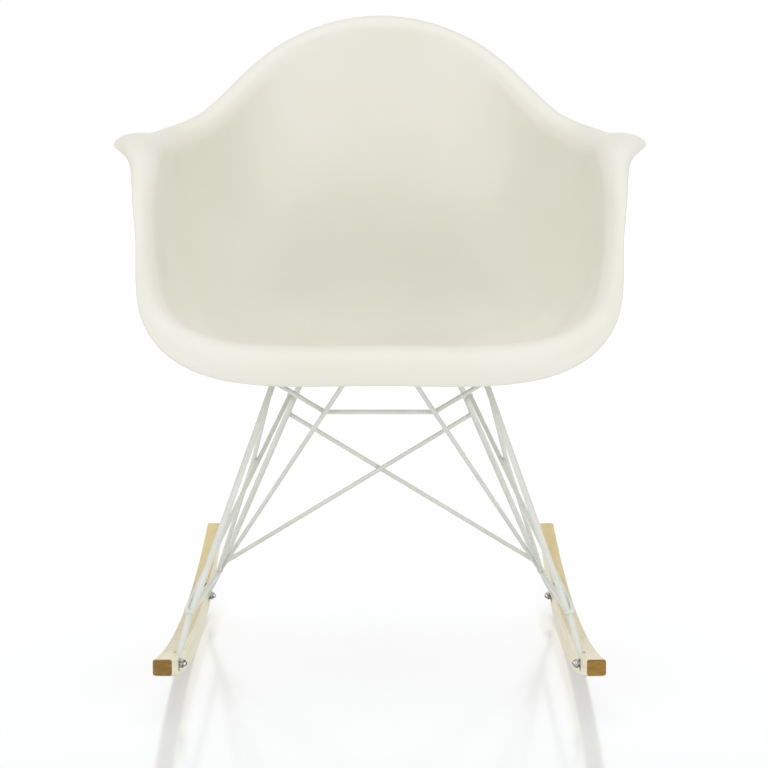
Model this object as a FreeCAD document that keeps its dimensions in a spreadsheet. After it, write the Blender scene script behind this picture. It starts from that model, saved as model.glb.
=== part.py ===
import FreeCAD, Part
import Sketcher
import os
from math import acos, cos, degrees, pi, radians, sin, sqrt
from FreeCAD import Placement, Rotation, Vector

# A moulded armchair shell on a bent and welded rod base that stands on two wooden rockers.
# Millimetres. X runs across the chair, the chair looks towards -Y, Z is up, and the origin is on
# the floor under the middle of the rockers. Left is the -X side, as seen from in front.

DOCUMENT = FreeCAD.newDocument("rocking_chair")
SIZES = {
    # bucket
    "wall": 5.0,
    "front_corner_fullness": 4.0,
    "back_corner_fullness": 2.1,
    "front_wall_turn": 90.0,
    "back_wall_turn": 55.0,
    # seat centre line, from the front crest to the top crest
    "lip_crest_depth": -272.0,
    "lip_crest_height": 388.0,
    "thigh_depth": -120.0,
    "thigh_height": 358.0,
    "hollow_depth": 10.0,
    "hollow_height": 344.0,
    "tail_depth": 110.0,
    "tail_height": 361.0,
    "lumbar_depth": 178.0,
    "lumbar_height": 428.0,
    "back_depth": 222.0,
    "back_height": 553.0,
    "top_crest_depth": 258.0,
    "top_crest_height": 742.0,
    # line where the rolled edge starts, half width, depth and height of each station
    "lip_end_half_width": 179.0,
    "lip_end_depth": -265.0,
    "lip_end_height": 395.0,
    "corner_half_width": 233.0,
    "corner_depth": -239.0,
    "corner_height": 427.0,
    "side_half_width": 252.0,
    "side_depth": -178.0,
    "side_height": 511.0,
    "arm_front_half_width": 254.0,
    "arm_front_depth": -110.0,
    "arm_front_height": 572.0,
    "arm_half_width": 250.0,
    "arm_depth": -38.0,
    "arm_height": 588.0,
    "elbow_half_width": 237.0,
    "elbow_depth": 85.0,
    "elbow_height": 588.0,
    "waist_half_width": 200.0,
    "waist_depth": 142.0,
    "waist_height": 614.0,
    "shoulder_half_width": 106.0,
    "shoulder_depth": 228.0,
    "shoulder_height": 711.0,
    # rolled edge, radius and angle of the roll, and how soon it bends (1 is a plain arc)
    "lip_crest_roll_radius": 36.0,
    "lip_crest_roll_angle": 110.0,
    "lip_crest_roll_haste": 1.0,
    "lip_end_roll_radius": 34.0,
    "lip_end_roll_angle": 108.0,
    "lip_end_roll_haste": 1.0,
    "corner_roll_radius": 27.0,
    "corner_roll_angle": 98.0,
    "corner_roll_haste": 1.0,
    "side_roll_radius": 22.0,
    "side_roll_angle": 90.0,
    "side_roll_haste": 1.0,
    "arm_front_roll_radius": 26.0,
    "arm_front_roll_angle": 104.0,
    "arm_front_roll_haste": 1.5,
    "arm_roll_radius": 42.0,
    "arm_roll_angle": 118.0,
    "arm_roll_haste": 1.8,
    "elbow_roll_radius": 32.0,
    "elbow_roll_angle": 104.0,
    "elbow_roll_haste": 1.4,
    "back_roll_radius": 25.0,
    "back_roll_angle": 87.0,
    "back_roll_haste": 1.0,
    # rockers
    "rocker_length": 810.0,
    "rocker_thickness": 20.5,
    "rocker_middle_height": 37.0,
    "rocker_sole_radius": 1500.0,
    "rocker_back_radius": 2400.0,
    "rocker_contact_depth": -15.0,
    "rocker_inner_face": 218.5,
    "rocker_edge_chamfer": 2.2,
    "foot_pocket_depth": 6.0,
    "foot_pocket_radius": 9.5,
    "foot_bolt_lift": 1.0,
    # rods
    "heavy_rod_radius": 3.6,
    "light_rod_radius": 2.75,
    "rail_bend_radius": 16.0,
    "hook_bend_radius": 5.0,
    "stretcher_bend_radius": 10.0,
    "weld_gap": 0.3,
    # nodes of the base, given for the +X side
    "front_foot_depth": -315.0,
    "rear_foot_depth": 140.0,
    "front_node_half_width": 208.5,
    "front_node_depth": -290.0,
    "front_node_height": 94.0,
    "rear_node_half_width": 204.0,
    "rear_node_depth": 115.0,
    "rear_node_height": 61.0,
    "leg_foot_half_width": 207.4,
    "leg_foot_depth": -288.5,
    "leg_foot_height": 93.0,
    "hook_height": 104.0,
    "front_top_half_width": 115.0,
    "front_top_depth": -199.0,
    "rear_top_half_width": 93.0,
    "rear_top_depth": -18.0,
    "fore_brace_top_half_width": 107.5,
    "fore_brace_top_depth": -8.0,
    "fore_brace_top_height": 303.0,
    "aft_brace_top_drop": 21.0,
    "aft_brace_foot_setback": 19.0,
    "aft_brace_bend_radius": 33.0,
    "cross_brace_foot_height": 74.0,
    "cross_brace_top_height": 278.0,
    "stretcher_top_drop": 11.0,
    "stretcher_corner_half_width": 61.7,
    "stretcher_corner_depth": -205.0,
    "stretcher_corner_height": 306.0,
    "hoop_foot_setback": 8.0,
    "hoop_top_drop": 5.0,
    # flattened feet of the rails and their bolts
    "foot_pad_thickness": 5.2,
    "foot_pad_radius": 8.0,
    "foot_pad_neck": 14.0,
    "rocker_bolt_radius": 3.0,
    "rocker_bolt_hole_radius": 3.3,
    "rocker_bolt_head_radius": 7.0,
    "rocker_bolt_head_height": 3.0,
    "rocker_bolt_socket_radius": 3.2,
    "rocker_bolt_socket_depth": 1.5,
    "rocker_bolt_thread_in_nut": 3.6,
    "washer_radius": 7.0,
    "washer_thickness": 1.2,
    "nut_across_corners_radius": 5.8,
    "nut_height": 4.5,
    "nut_dome_radius": 4.6,
    # seat fixing
    "plate_thickness": 3.0,
    "plate_half_length": 22.0,
    "plate_half_width": 14.0,
    "plate_corner_radius": 9.8,
    "front_plate_height": 351.0,
    "rear_plate_height": 322.0,
    "front_screw_half_width": 101.0,
    "rear_screw_half_width": 79.0,
    "spacer_thickness": 4.0,
    "spacer_radius": 16.0,
    "boss_radius": 19.0,
    "insert_radius": 5.5,
    "insert_length": 9.5,
    "insert_clearance": 0.1,
    "seat_screw_radius": 3.9,
    "seat_screw_hole_radius": 4.2,
    "seat_screw_length": 15.0,
    "seat_screw_head_radius": 7.0,
    "seat_screw_head_height": 4.0,
    "seat_screw_socket_radius": 2.5,
}


def make_sheet():
    sheet = DOCUMENT.addObject("Spreadsheet::Sheet", "Sizes")
    for row, (alias, value) in enumerate(SIZES.items(), start=1):
        sheet.set("A%d" % row, alias)
        sheet.set("B%d" % row, str(value))
        sheet.setAlias("B%d" % row, alias)
    DOCUMENT.recompute()
    return sheet


SHEET = make_sheet()
PARTS = []


def size(alias):
    """The number that the sheet holds under a name."""
    return float(getattr(SHEET, alias))


def keep(item, label):
    """Files an object as one of the chair's pieces, under its own name."""
    item.Label = label
    PARTS.append(item)
    return item


def bind(item, **expressions):
    """Ties an object's properties to the sheet."""
    for name, expression in expressions.items():
        item.setExpression(name, expression)
    return item


def side_name(side):
    return "right" if side > 0 else "left"


# Small vector help on plain tuples, for the bucket's formula

def plus(a, b, k=1.0):
    return tuple(x + k * y for x, y in zip(a, b))


def times(a, k):
    return tuple(x * k for x in a)


def dot(a, b):
    return sum(x * y for x, y in zip(a, b))


def cross(a, b):
    return (a[1] * b[2] - a[2] * b[1], a[2] * b[0] - a[0] * b[2], a[0] * b[1] - a[1] * b[0])


def unit(a):
    return times(a, 1.0 / sqrt(dot(a, a)))


def ease(t):
    """A step from 0 to 1 with level ends."""
    t = min(max(t, 0.0), 1.0)
    return t * t * (3.0 - 2.0 * t)


class Flow:
    """A smooth curve through a few stations. Values past the third ride along with the place."""

    def __init__(self, stations):
        self.stations = stations
        self.knots = [0.0]
        for a, b in zip(stations, stations[1:]):
            step = plus(b[:3], a[:3], -1.0)
            self.knots.append(self.knots[-1] + dot(step, step) ** 0.25)
        self.knots = [knot / self.knots[-1] for knot in self.knots]
        self.slopes = [self.slope(i) for i in range(len(stations))]

    def chord(self, i):
        gap = self.knots[i + 1] - self.knots[i]
        return times(plus(self.stations[i + 1], self.stations[i], -1.0), 1.0 / gap), gap

    def slope(self, i):
        if i == 0:
            return self.chord(0)[0]
        if i == len(self.stations) - 1:
            return self.chord(i - 1)[0]
        before, gap_before = self.chord(i - 1)
        after, gap_after = self.chord(i)
        share = gap_after / (gap_before + gap_after)
        return plus(times(before, share), after, 1.0 - share)

    def level_ends(self):
        """Makes the curve leave and arrive straight across, so that its mirror image joins on."""
        for i, way in ((0, 1.0), (-1, -1.0)):
            slope = self.slopes[i]
            speed = sqrt(dot(slope[:3], slope[:3]))
            self.slopes[i] = (way * speed,) + (0.0,) * (len(slope) - 1)

    def at(self, t):
        t = min(max(t, 0.0), 1.0)
        i = 0
        while i < len(self.knots) - 2 and t > self.knots[i + 1]:
            i += 1
        gap = self.knots[i + 1] - self.knots[i]
        q = (t - self.knots[i]) / gap
        point = times(self.stations[i], (1.0 + 2.0 * q) * (1.0 - q) ** 2)
        point = plus(point, self.slopes[i], q * (1.0 - q) ** 2 * gap)
        point = plus(point, self.stations[i + 1], q * q * (3.0 - 2.0 * q))
        return plus(point, self.slopes[i + 1], q * q * (q - 1.0) * gap)


class Bucket:
    """The inner skin of the seat: U sections that fan from the front crest to the top crest,
    and a rolled edge all round. u runs from 0 at the middle to 1 at the side, v from 0 at the
    front to 1 at the top, and turn runs from 0 where the roll starts to 1 at its free edge."""

    SIDE_START = 3      # station where the side begins
    SIDE_END = 8        # station where the side ends
    FULLNESS_END = 0.95     # v where the corners reach the back's fullness
    TURN_START = 0.45       # v where the walls begin to open out
    STEP = 0.01         # reach of the differences that give the wall's direction
    INSET = 0.03        # how far from the edge they are still taken
    WAY_STEP = 0.002    # the same along the edge
    WITHIN = 0.9        # share of u and v that lies well inside the edge
    ROLL_STEPS = 12

    def __init__(self):
        names = ("lip_crest", "thigh", "hollow", "tail", "lumbar", "back", "top_crest")
        self.middle = Flow([(0.0, size(n + "_depth"), size(n + "_height")) for n in names])
        rolls = (
            ("lip_end", "lip_end"), ("corner", "corner"), ("side", "side"),
            ("arm_front", "arm_front"), ("arm", "arm"), ("elbow", "elbow"),
            ("waist", "back"), ("shoulder", "back"),
        )
        stations = [self.station(0.0, "lip_crest", "lip_crest")]
        for place, roll in rolls:
            stations.append(self.station(size(place + "_half_width"), place, roll))
        stations.append(self.station(0.0, "top_crest", "back"))
        self.loop = Flow(stations)
        self.loop.level_ends()
        self.start = self.loop.knots[self.SIDE_START]
        self.end = self.loop.knots[self.SIDE_END]

    def station(self, x, place, roll):
        """A place on the edge with the radius, angle and haste of the roll there."""
        return (
            x, size(place + "_depth"), size(place + "_height"),
            size(roll + "_roll_radius"), size(roll + "_roll_angle"), size(roll + "_roll_haste"),
        )

    def side_at(self, v):
        return self.loop.at(self.start + (self.end - self.start) * v)[:3]

    def front_at(self, u):
        return self.loop.at(self.start * u)[:3]

    def top_at(self, u):
        return self.loop.at(1.0 - (1.0 - self.end) * u)[:3]

    def section(self, u, v):
        """A rounded-box U between the centre line and the side."""
        middle = self.middle.at(v)
        side = self.side_at(v)
        rise = (0.0, side[1] - middle[1], side[2] - middle[2])
        low, high = size("front_corner_fullness"), size("back_corner_fullness")
        power = low + (high - low) * ease(v / self.FULLNESS_END)
        low, high = size("front_wall_turn"), size("back_wall_turn")
        opened = ease((v - self.TURN_START) / (1.0 - self.TURN_START))
        reach = radians(low + (high - low) * opened)

        def corner(angle):
            s = sin(angle)
            c = max(cos(angle), 0.0)
            k = (s ** power + c ** power) ** (-1.0 / power)
            return s * k, 1.0 - c * k

        across, up = corner(reach * u)
        across_end, up_end = corner(reach)
        point = plus(middle, rise, up / up_end)
        return (side[0] * across / across_end, point[1], point[2])

    def skin(self, u, v):
        """The U sections, eased at both ends onto the line where the rolled edge starts."""
        point = self.section(u, v)
        point = plus(point, plus(self.front_at(u), self.section(u, 0.0), -1.0), (1.0 - v) ** 2)
        return plus(point, plus(self.top_at(u), self.section(u, 1.0), -1.0), v ** 2)

    def outward(self, u, v):
        """The direction through the wall, away from the sitter."""
        u = min(u, 1.0 - self.INSET)
        v = min(max(v, self.INSET), 1.0 - self.INSET)
        beyond = self.skin(u + self.STEP, v)
        if u > self.STEP:
            before = self.skin(u - self.STEP, v)
        else:
            before = self.skin(abs(u - self.STEP), v)
            before = (-before[0], before[1], before[2])
        across = plus(beyond, before, -1.0)
        along = plus(self.skin(u, v + self.STEP), self.skin(u, v - self.STEP), -1.0)
        return unit(cross(along, across))

    def edge_frame(self, t):
        """Place, forward way and outward way of the roll at t along the loop."""
        if t < self.start:
            u, v = t / self.start, 0.0
        elif t <= self.end:
            u, v = 1.0, (t - self.start) / (self.end - self.start)
        else:
            u, v = (1.0 - t) / (1.0 - self.end), 1.0
        place = self.loop.at(t)
        if t < 1e-6 or t > 1.0 - 1e-6:
            along = (1.0, 0.0, 0.0)
        else:
            ahead, behind = self.loop.at(t + self.WAY_STEP), self.loop.at(t - self.WAY_STEP)
            along = unit(plus(ahead[:3], behind[:3], -1.0))
        out = self.outward(u, v)
        out = unit(plus(out, along, -dot(out, along)))
        onward = cross(out, along)
        inside = self.skin(self.WITHIN * u, 0.5 + self.WITHIN * (v - 0.5))
        if dot(onward, plus(place[:3], inside, -1.0)) < 0.0:
            onward = times(onward, -1.0)
        return place, onward, out

    def roll(self, t, turn, depth):
        """A point of the rolled edge, depth millimetres through the wall. A haste above 1 bends
        the roll early, so that its free end hangs straighter."""
        place, onward, out = self.edge_frame(t)
        radius, angle, haste = place[3], radians(place[4]), place[5]
        step = radius * angle * turn / self.ROLL_STEPS
        point = place[:3]
        for i in range(self.ROLL_STEPS):
            bent = angle * (1.0 - (1.0 - turn * (i + 0.5) / self.ROLL_STEPS) ** haste)
            point = plus(point, onward, step * cos(bent))
            point = plus(point, out, step * sin(bent))
        bent = angle * (1.0 - (1.0 - turn) ** haste)
        through = plus(times(onward, -sin(bent)), out, cos(bent))
        return plus(point, through, depth)

    def rim(self, t, turn):
        """The half-round free edge, from the inner skin to the outer one."""
        place, onward, out = self.edge_frame(t)
        angle = radians(place[4])
        half = size("wall") / 2.0
        through = plus(times(onward, -sin(angle)), out, cos(angle))
        ahead = plus(times(onward, cos(angle)), out, sin(angle))
        middle = plus(self.roll(t, 1.0, 0.0), through, half)
        point = plus(middle, through, -half * cos(pi * turn))
        return plus(point, ahead, half * sin(pi * turn))

    def wall_point(self, u, v, depth):
        """A point of the bucket inside the rolled edge, depth millimetres through the wall."""
        on_edge = abs(u) > 1.0 - 1e-6 or v < 1e-6 or v > 1.0 - 1e-6
        if on_edge:
            if v < 1e-6:
                t = self.start * abs(u)
            elif v > 1.0 - 1e-6:
                t = 1.0 - (1.0 - self.end) * abs(u)
            else:
                t = self.start + (self.end - self.start) * v
            point = self.roll(t, 0.0, depth)
        else:
            point = plus(self.skin(abs(u), v), self.outward(abs(u), v), depth)
        return (point[0] if u >= 0.0 else -point[0], point[1], point[2])


def fitted_surface(grid, across, along):
    """One smooth face through a grid of points. Faces fitted on the same points and the same
    values along a shared edge meet there exactly."""

    def fitted(points, values):
        curve = Part.BSplineCurve()
        curve.interpolate(Points=points, Parameters=values)
        return curve

    rows = [fitted([Vector(*point) for point in row], across) for row in grid]
    columns = [fitted([row.getPole(i + 1) for row in rows], along)
               for i in range(rows[0].NbPoles)]
    poles = [[column.getPole(j + 1) for column in columns] for j in range(columns[0].NbPoles)]
    surface = Part.BSplineSurface()
    surface.buildFromPolesMultsKnots(
        poles, columns[0].getMultiplicities(), rows[0].getMultiplicities(),
        columns[0].getKnots(), rows[0].getKnots(), False, False, 3, 3)
    return surface.toShape()


def bucket_shape():
    """The bucket and its rolled edge as one solid of even wall."""
    bucket = Bucket()
    wall = size("wall")
    half_count, long_count, roll_count = 7, 12, 5
    across = [i / half_count for i in range(-half_count, half_count + 1)]
    along = [j / long_count for j in range(long_count + 1)]
    turns = [k / roll_count for k in range(roll_count + 1)]
    faces = []
    for depth in (0.0, wall):
        grid = [[bucket.wall_point(u, v, depth) for u in across] for v in along]
        faces.append(fitted_surface(grid, across, along))

    def mirrored(point, side):
        return (side * point[0], point[1], point[2])

    strips = (
        (lambda t, turn: bucket.roll(t, turn, 0.0)),
        (lambda t, turn: bucket.rim(t, turn)),
        (lambda t, turn: bucket.roll(t, turn, wall)),
    )
    for strip in strips:
        for ends in (lambda u: bucket.start * u, lambda u: 1.0 - (1.0 - bucket.end) * u):
            grid = [[mirrored(strip(ends(abs(u)), turn), 1.0 if u >= 0.0 else -1.0)
                     for u in across] for turn in turns]
            faces.append(fitted_surface(grid, across, turns))
        for side in (-1.0, 1.0):
            grid = [[mirrored(strip(bucket.start + (bucket.end - bucket.start) * v, turn), side)
                     for v in along] for turn in turns]
            faces.append(fitted_surface(grid, along, turns))
    shell = Part.makeShell(faces)
    shell.sewShape()
    solid = Part.makeSolid(shell)
    if solid.Volume < 0.0:
        solid.reverse()
    return solid


def screw_places():
    """Where the four seat screws stand: name, X, Y and the height of the plate's underside."""
    places = []
    for end in ("front", "rear"):
        for side in (-1.0, 1.0):
            places.append((
                "%s_%s" % (end, side_name(side)),
                side * size(end + "_screw_half_width"),
                size(end + "_top_depth"),
                size(end + "_plate_height"),
            ))
    return places


def make_seat_shell():
    """The moulding: the bucket with four bosses under it, each with a blind hole for an insert."""
    bucket = bucket_shape()
    shape = bucket
    up = Vector(0, 0, 1)
    for name, x, y, height in screw_places():
        foot = Vector(x, y, height + size("plate_thickness") + size("spacer_thickness"))
        column = Part.makeCylinder(size("boss_radius"), size("boss_radius") * 3.0, foot, up)
        pieces = column.cut(bucket).Solids
        shape = shape.fuse(min(pieces, key=lambda piece: piece.CenterOfMass.z))
        hole = Part.makeCylinder(size("insert_radius") + size("insert_clearance"),
                                 size("insert_length") + size("weld_gap"), foot, up)
        shape = shape.cut(hole)
    item = DOCUMENT.addObject("Part::Feature", "SeatShell")
    item.Shape = shape.removeSplitter().Solids[0]
    item.Placement = Placement()
    return keep(item, "seat_shell")


# Rods

def straight_rod(name, radius, start, end):
    """A round bar between two places, each three expressions on the sheet."""
    way = ["(%s) - (%s)" % (b, a) for a, b in zip(start, end)]
    length = "sqrt((%s)^2 + (%s)^2 + (%s)^2)" % tuple(way)
    rod = DOCUMENT.addObject("Part::Cylinder", name)
    rod.setExpression("Radius", "Sizes." + radius)
    rod.setExpression("Height", length)
    rod.setExpression(
        "Placement",
        "placement(vector(%s; %s; %s); rotation(vector(-(%s); %s; 0); acos((%s) / %s)))"
        % (start[0], start[1], start[2], way[1], way[0], way[2], length))
    return rod


def trimmed(rod, label, *others):
    """A rod whose ends are shaped to the pieces that it is welded to."""
    for index, other in enumerate(others):
        cut = DOCUMENT.addObject("Part::Cut", "%sTrim%d" % (label.title().replace("_", ""), index))
        cut.Base = rod
        cut.Tool = other
        rod = cut
    return keep(rod, label)


def bent_wire(points, bend_radius):
    """A path of straight runs joined by tangent arcs of one radius."""
    points = [Vector(*point) for point in points]
    edges = []
    here = points[0]
    for before, corner, after in zip(points, points[1:], points[2:]):
        arriving = (corner - before).normalize()
        leaving = (after - corner).normalize()
        turn = acos(max(-1.0, min(1.0, arriving.dot(leaving))))
        setback = bend_radius * sin(turn / 2.0) / cos(turn / 2.0)
        first = corner - arriving * setback
        last = corner + leaving * setback
        middle_way = (leaving - arriving).normalize()
        middle = corner + middle_way * (bend_radius / cos(turn / 2.0) - bend_radius)
        edges.append(Part.LineSegment(here, first).toShape())
        edges.append(Part.Arc(first, middle, last).toShape())
        here = last
    edges.append(Part.LineSegment(here, points[-1]).toShape())
    return Part.Wire(edges)


def bent_rod(points, bend_radius, radius):
    """A round bar along a bent path."""
    path = bent_wire(points, bend_radius)
    first = Vector(*points[0])
    way = Vector(*points[1]) - first
    ring = Part.Wire([Part.Circle(first, way, radius).toShape()])
    return path.makePipeShell([ring], True, False)


def on_line(a, b, height):
    """The place at a height on the line from a to b."""
    share = (height - a[2]) / (b[2] - a[2])
    return plus(a, plus(b, a, -1.0), share)


def base_place(name, side):
    return (side * size(name + "_half_width"), size(name + "_depth"), size(name + "_height"))


def front_top(side):
    """Where the front leg meets its plate, half way through the plate."""
    height = size("front_plate_height") + size("plate_thickness") / 2.0
    return (side * size("front_top_half_width"), size("front_top_depth"), height)


def rear_top(side):
    height = size("rear_plate_height") + size("plate_thickness") / 2.0
    return (side * size("rear_top_half_width"), size("rear_top_depth"), height)


def expressions(name, side, height=None):
    """The three expressions of a place of the base."""
    sign = "" if side > 0 else "-"
    if height is None:
        height = "Sizes.%s_height" % name
    return ("%sSizes.%s_half_width" % (sign, name), "Sizes.%s_depth" % name, height)


def rocker_middle(depth):
    """Half height of the rocker at a depth."""
    reach = depth - size("rocker_contact_depth")
    sole_radius, back_radius = size("rocker_sole_radius"), size("rocker_back_radius")
    sole = sole_radius - sqrt(sole_radius ** 2 - reach ** 2)
    back = size("rocker_middle_height") + back_radius - sqrt(back_radius ** 2 - reach ** 2)
    return (sole + back) / 2.0


def foot_places(side):
    """The bolt's place and the bend above it, for the rail's two feet."""
    pad_middle = (size("rocker_inner_face") + size("foot_pocket_depth") - size("weld_gap")
                  - size("foot_pad_thickness") / 2.0)
    feet = []
    for end in ("front", "rear"):
        depth = size(end + "_foot_depth")
        feet.append(((side * pad_middle, depth, rocker_middle(depth) + size("foot_bolt_lift")),
                     base_place(end + "_node", side)))
    return feet


def foot_tilt(bolt, node):
    """Lean of a foot from upright, towards +Y."""
    return degrees(acos((node[2] - bolt[2]) / sqrt((node[1] - bolt[1]) ** 2
                                                   + (node[2] - bolt[2]) ** 2))) \
        * (1.0 if node[1] > bolt[1] else -1.0)


def foot_pad(bolt, node):
    """The flattened end of a rail: a round-ended plate along the foot with a bolt hole."""
    thickness, radius = size("foot_pad_thickness"), size("foot_pad_radius")
    neck = size("foot_pad_neck")
    across = Vector(1, 0, 0)
    disc = Part.makeCylinder(radius, thickness, Vector(-thickness / 2.0, 0, 0), across)
    rod = size("heavy_rod_radius")
    outline = Part.makePolygon([
        Vector(-thickness / 2.0, -radius, 0), Vector(-thickness / 2.0, radius, 0),
        Vector(-thickness / 2.0, rod, neck), Vector(-thickness / 2.0, -rod, neck),
        Vector(-thickness / 2.0, -radius, 0)])
    web = Part.Face(outline).extrude(across * thickness)
    hole = Part.makeCylinder(size("rocker_bolt_hole_radius"), thickness,
                             Vector(-thickness / 2.0, 0, 0), across)
    pad = disc.fuse(web).removeSplitter()
    pad.Placement = Placement(Vector(*bolt), Rotation(across, -foot_tilt(bolt, node)))
    hole.Placement = pad.Placement
    return pad, hole


def make_rail(side):
    """The low rod of one side: a flattened foot, a bend, the long run, a bend, a foot."""
    (front_bolt, front_node), (rear_bolt, rear_node) = foot_places(side)
    radius = size("heavy_rod_radius")
    shape = bent_rod([front_bolt, front_node, rear_node, rear_bolt],
                     size("rail_bend_radius"), radius)
    for bolt, node in ((front_bolt, front_node), (rear_bolt, rear_node)):
        pad, hole = foot_pad(bolt, node)
        slab = Part.makeBox(size("foot_pad_thickness"), 4.0 * radius, 4.0 * radius,
                            Vector(-size("foot_pad_thickness") / 2.0, -2.0 * radius, -2.0 * radius))
        slab.Placement = pad.Placement
        room = Part.makeBox(4.0 * radius, 4.0 * radius, 4.0 * radius,
                            Vector(-2.0 * radius, -2.0 * radius, -2.0 * radius))
        room.Placement = pad.Placement
        shape = shape.cut(room.cut(slab))
        shape = shape.fuse(pad).cut(hole)
    item = DOCUMENT.addObject("Part::Feature", "Rail" + side_name(side).title())
    item.Shape = shape.removeSplitter()
    item.Placement = Placement()
    return keep(item, "rail_" + side_name(side))


def make_front_leg(side, rail, plate):
    rod = straight_rod("FrontLegBar" + side_name(side).title(), "heavy_rod_radius",
                       expressions("leg_foot", side),
                       expressions("front_top", side,
                                   "Sizes.front_plate_height + Sizes.plate_thickness / 2"))
    return trimmed(rod, "front_leg_" + side_name(side), rail, plate)


def make_rear_leg(side, rail, plate):
    rod = straight_rod("RearLegBar" + side_name(side).title(), "heavy_rod_radius",
                       expressions("rear_node", side),
                       expressions("rear_top", side,
                                   "Sizes.rear_plate_height + Sizes.plate_thickness / 2"))
    return trimmed(rod, "rear_leg_" + side_name(side), rail, plate)


def fore_brace_line(side):
    """Where the hook of the fore brace starts, turns and ends, and the brace's straight run."""
    start = on_line(base_place("leg_foot", side), front_top(side), size("hook_height"))
    high = base_place("fore_brace_top", side)
    low = start
    for _ in range(4):
        way = unit(plus(high, low, -1.0))
        outward = (side, 0.0, 0.0)
        outward = unit(plus(outward, way, -dot(outward, way)))
        low = plus(start, outward, 2.0 * size("hook_bend_radius"))
    turn = plus(plus(start, outward, size("hook_bend_radius")), way, -size("hook_bend_radius"))
    return start, turn, low, high


def make_fore_brace(side, rail, front_leg, rear_leg):
    """Brace with a tight hook at the foot of the front leg, up to the top of the rear leg."""
    start, turn, low, high = [Vector(*point) for point in fore_brace_line(side)]
    path = Part.Wire([Part.Arc(start, turn, low).toShape(),
                      Part.LineSegment(low, high).toShape()])
    ring = Part.Wire([Part.Circle(start, low - high, size("light_rod_radius")).toShape()])
    pipe = path.makePipeShell([ring], True, False)
    for other in (rail, front_leg, rear_leg):
        pipe = pipe.cut(other.Shape)
    item = DOCUMENT.addObject("Part::Feature", "ForeBrace" + side_name(side).title())
    item.Shape = max(pipe.Solids, key=lambda solid: solid.Volume)
    item.Placement = Placement()
    return keep(item, "side_brace_fore_" + side_name(side))


def below_front_plate(alias):
    """Height of what ends a given drop below the plates on the front legs."""
    return size("front_plate_height") - size(alias)


def make_aft_brace(side, rail, front_leg):
    """Brace from the top of the front leg to the rear of the rail. It leans on the fore brace
    where the two cross, just clear of it."""
    leg_low = base_place("leg_foot", side)
    high = on_line(leg_low, front_top(side), below_front_plate("aft_brace_top_drop"))
    front_node, rear_node = base_place("front_node", side), base_place("rear_node", side)
    back = size("aft_brace_foot_setback") / (rear_node[1] - front_node[1])
    low = plus(rear_node, plus(front_node, rear_node, -1.0), back)
    brace_low, brace_high = fore_brace_line(side)[2:]
    along = plus(brace_high, brace_low, -1.0)
    mine = plus(low, high, -1.0)
    share = crossing_share(brace_low, along, high, mine)
    across = unit(cross(along, mine))
    if across[0] * side < 0.0:
        across = times(across, -1.0)
    clear = 2.0 * size("light_rod_radius") + size("weld_gap")
    kink = plus(plus(brace_low, along, share), across, clear)
    shape = bent_rod([high, kink, low], size("aft_brace_bend_radius"), size("light_rod_radius"))
    for other in (rail, front_leg):
        shape = shape.cut(other.Shape)
    item = DOCUMENT.addObject("Part::Feature", "AftBrace" + side_name(side).title())
    item.Shape = max(shape.Solids, key=lambda solid: solid.Volume)
    item.Placement = Placement()
    return keep(item, "side_brace_aft_" + side_name(side))


def crossing_share(start, way, other_start, other_way):
    """How far along the first line it crosses the second, seen from the side."""
    gap_y, gap_z = other_start[1] - start[1], other_start[2] - start[2]
    flat = way[1] * other_way[2] - way[2] * other_way[1]
    return (gap_y * other_way[2] - gap_z * other_way[1]) / flat


def leg_expression(side, height_alias, low, high, low_height, high_height, shift=""):
    """Expressions of the place on a leg's axis at the height that an alias gives."""
    share = "((Sizes.%s - %s) / ((%s) - %s))" % (height_alias, low_height, high_height, low_height)
    x = "%s + (%s - (%s)) * %s" % (low[0], high[0], low[0], share)
    y = "%s + (%s - (%s)) * %s%s" % (low[1], high[1], low[1], share, shift)
    return x, y, "Sizes." + height_alias


def make_cross_brace(side, rear_legs):
    """Diagonal across the back, from the foot of one rear leg to the top of the other. The two
    pass each other with the weld gap between them."""
    shift = " %s (Sizes.light_rod_radius + Sizes.weld_gap / 2)" % ("+" if side > 0 else "-")
    top_height = "Sizes.rear_plate_height + Sizes.plate_thickness / 2"
    ends = []
    for end_side, alias in ((side, "cross_brace_foot_height"), (-side, "cross_brace_top_height")):
        ends.append(leg_expression(
            end_side, alias, expressions("rear_node", end_side),
            expressions("rear_top", end_side), "Sizes.rear_node_height", top_height, shift))
    name = "cross_brace_" + side_name(side)
    rod = straight_rod("CrossBraceBar" + side_name(side).title(), "light_rod_radius", *ends)
    return trimmed(rod, name, *rear_legs)


def make_stretcher(front_legs):
    """The dipped rod between the tops of the front legs."""
    points = []
    for side in (-1.0, 1.0):
        top = on_line(base_place("leg_foot", side), front_top(side),
                      below_front_plate("stretcher_top_drop"))
        corner = base_place("stretcher_corner", side)
        points.extend([top, corner] if side < 0 else [corner, top])
    shape = bent_rod(points, size("stretcher_bend_radius"), size("light_rod_radius"))
    for leg in front_legs:
        shape = shape.cut(leg.Shape)
    item = DOCUMENT.addObject("Part::Feature", "Stretcher")
    item.Shape = max(shape.Solids, key=lambda solid: solid.Volume)
    item.Placement = Placement()
    return keep(item, "front_stretcher")


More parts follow.
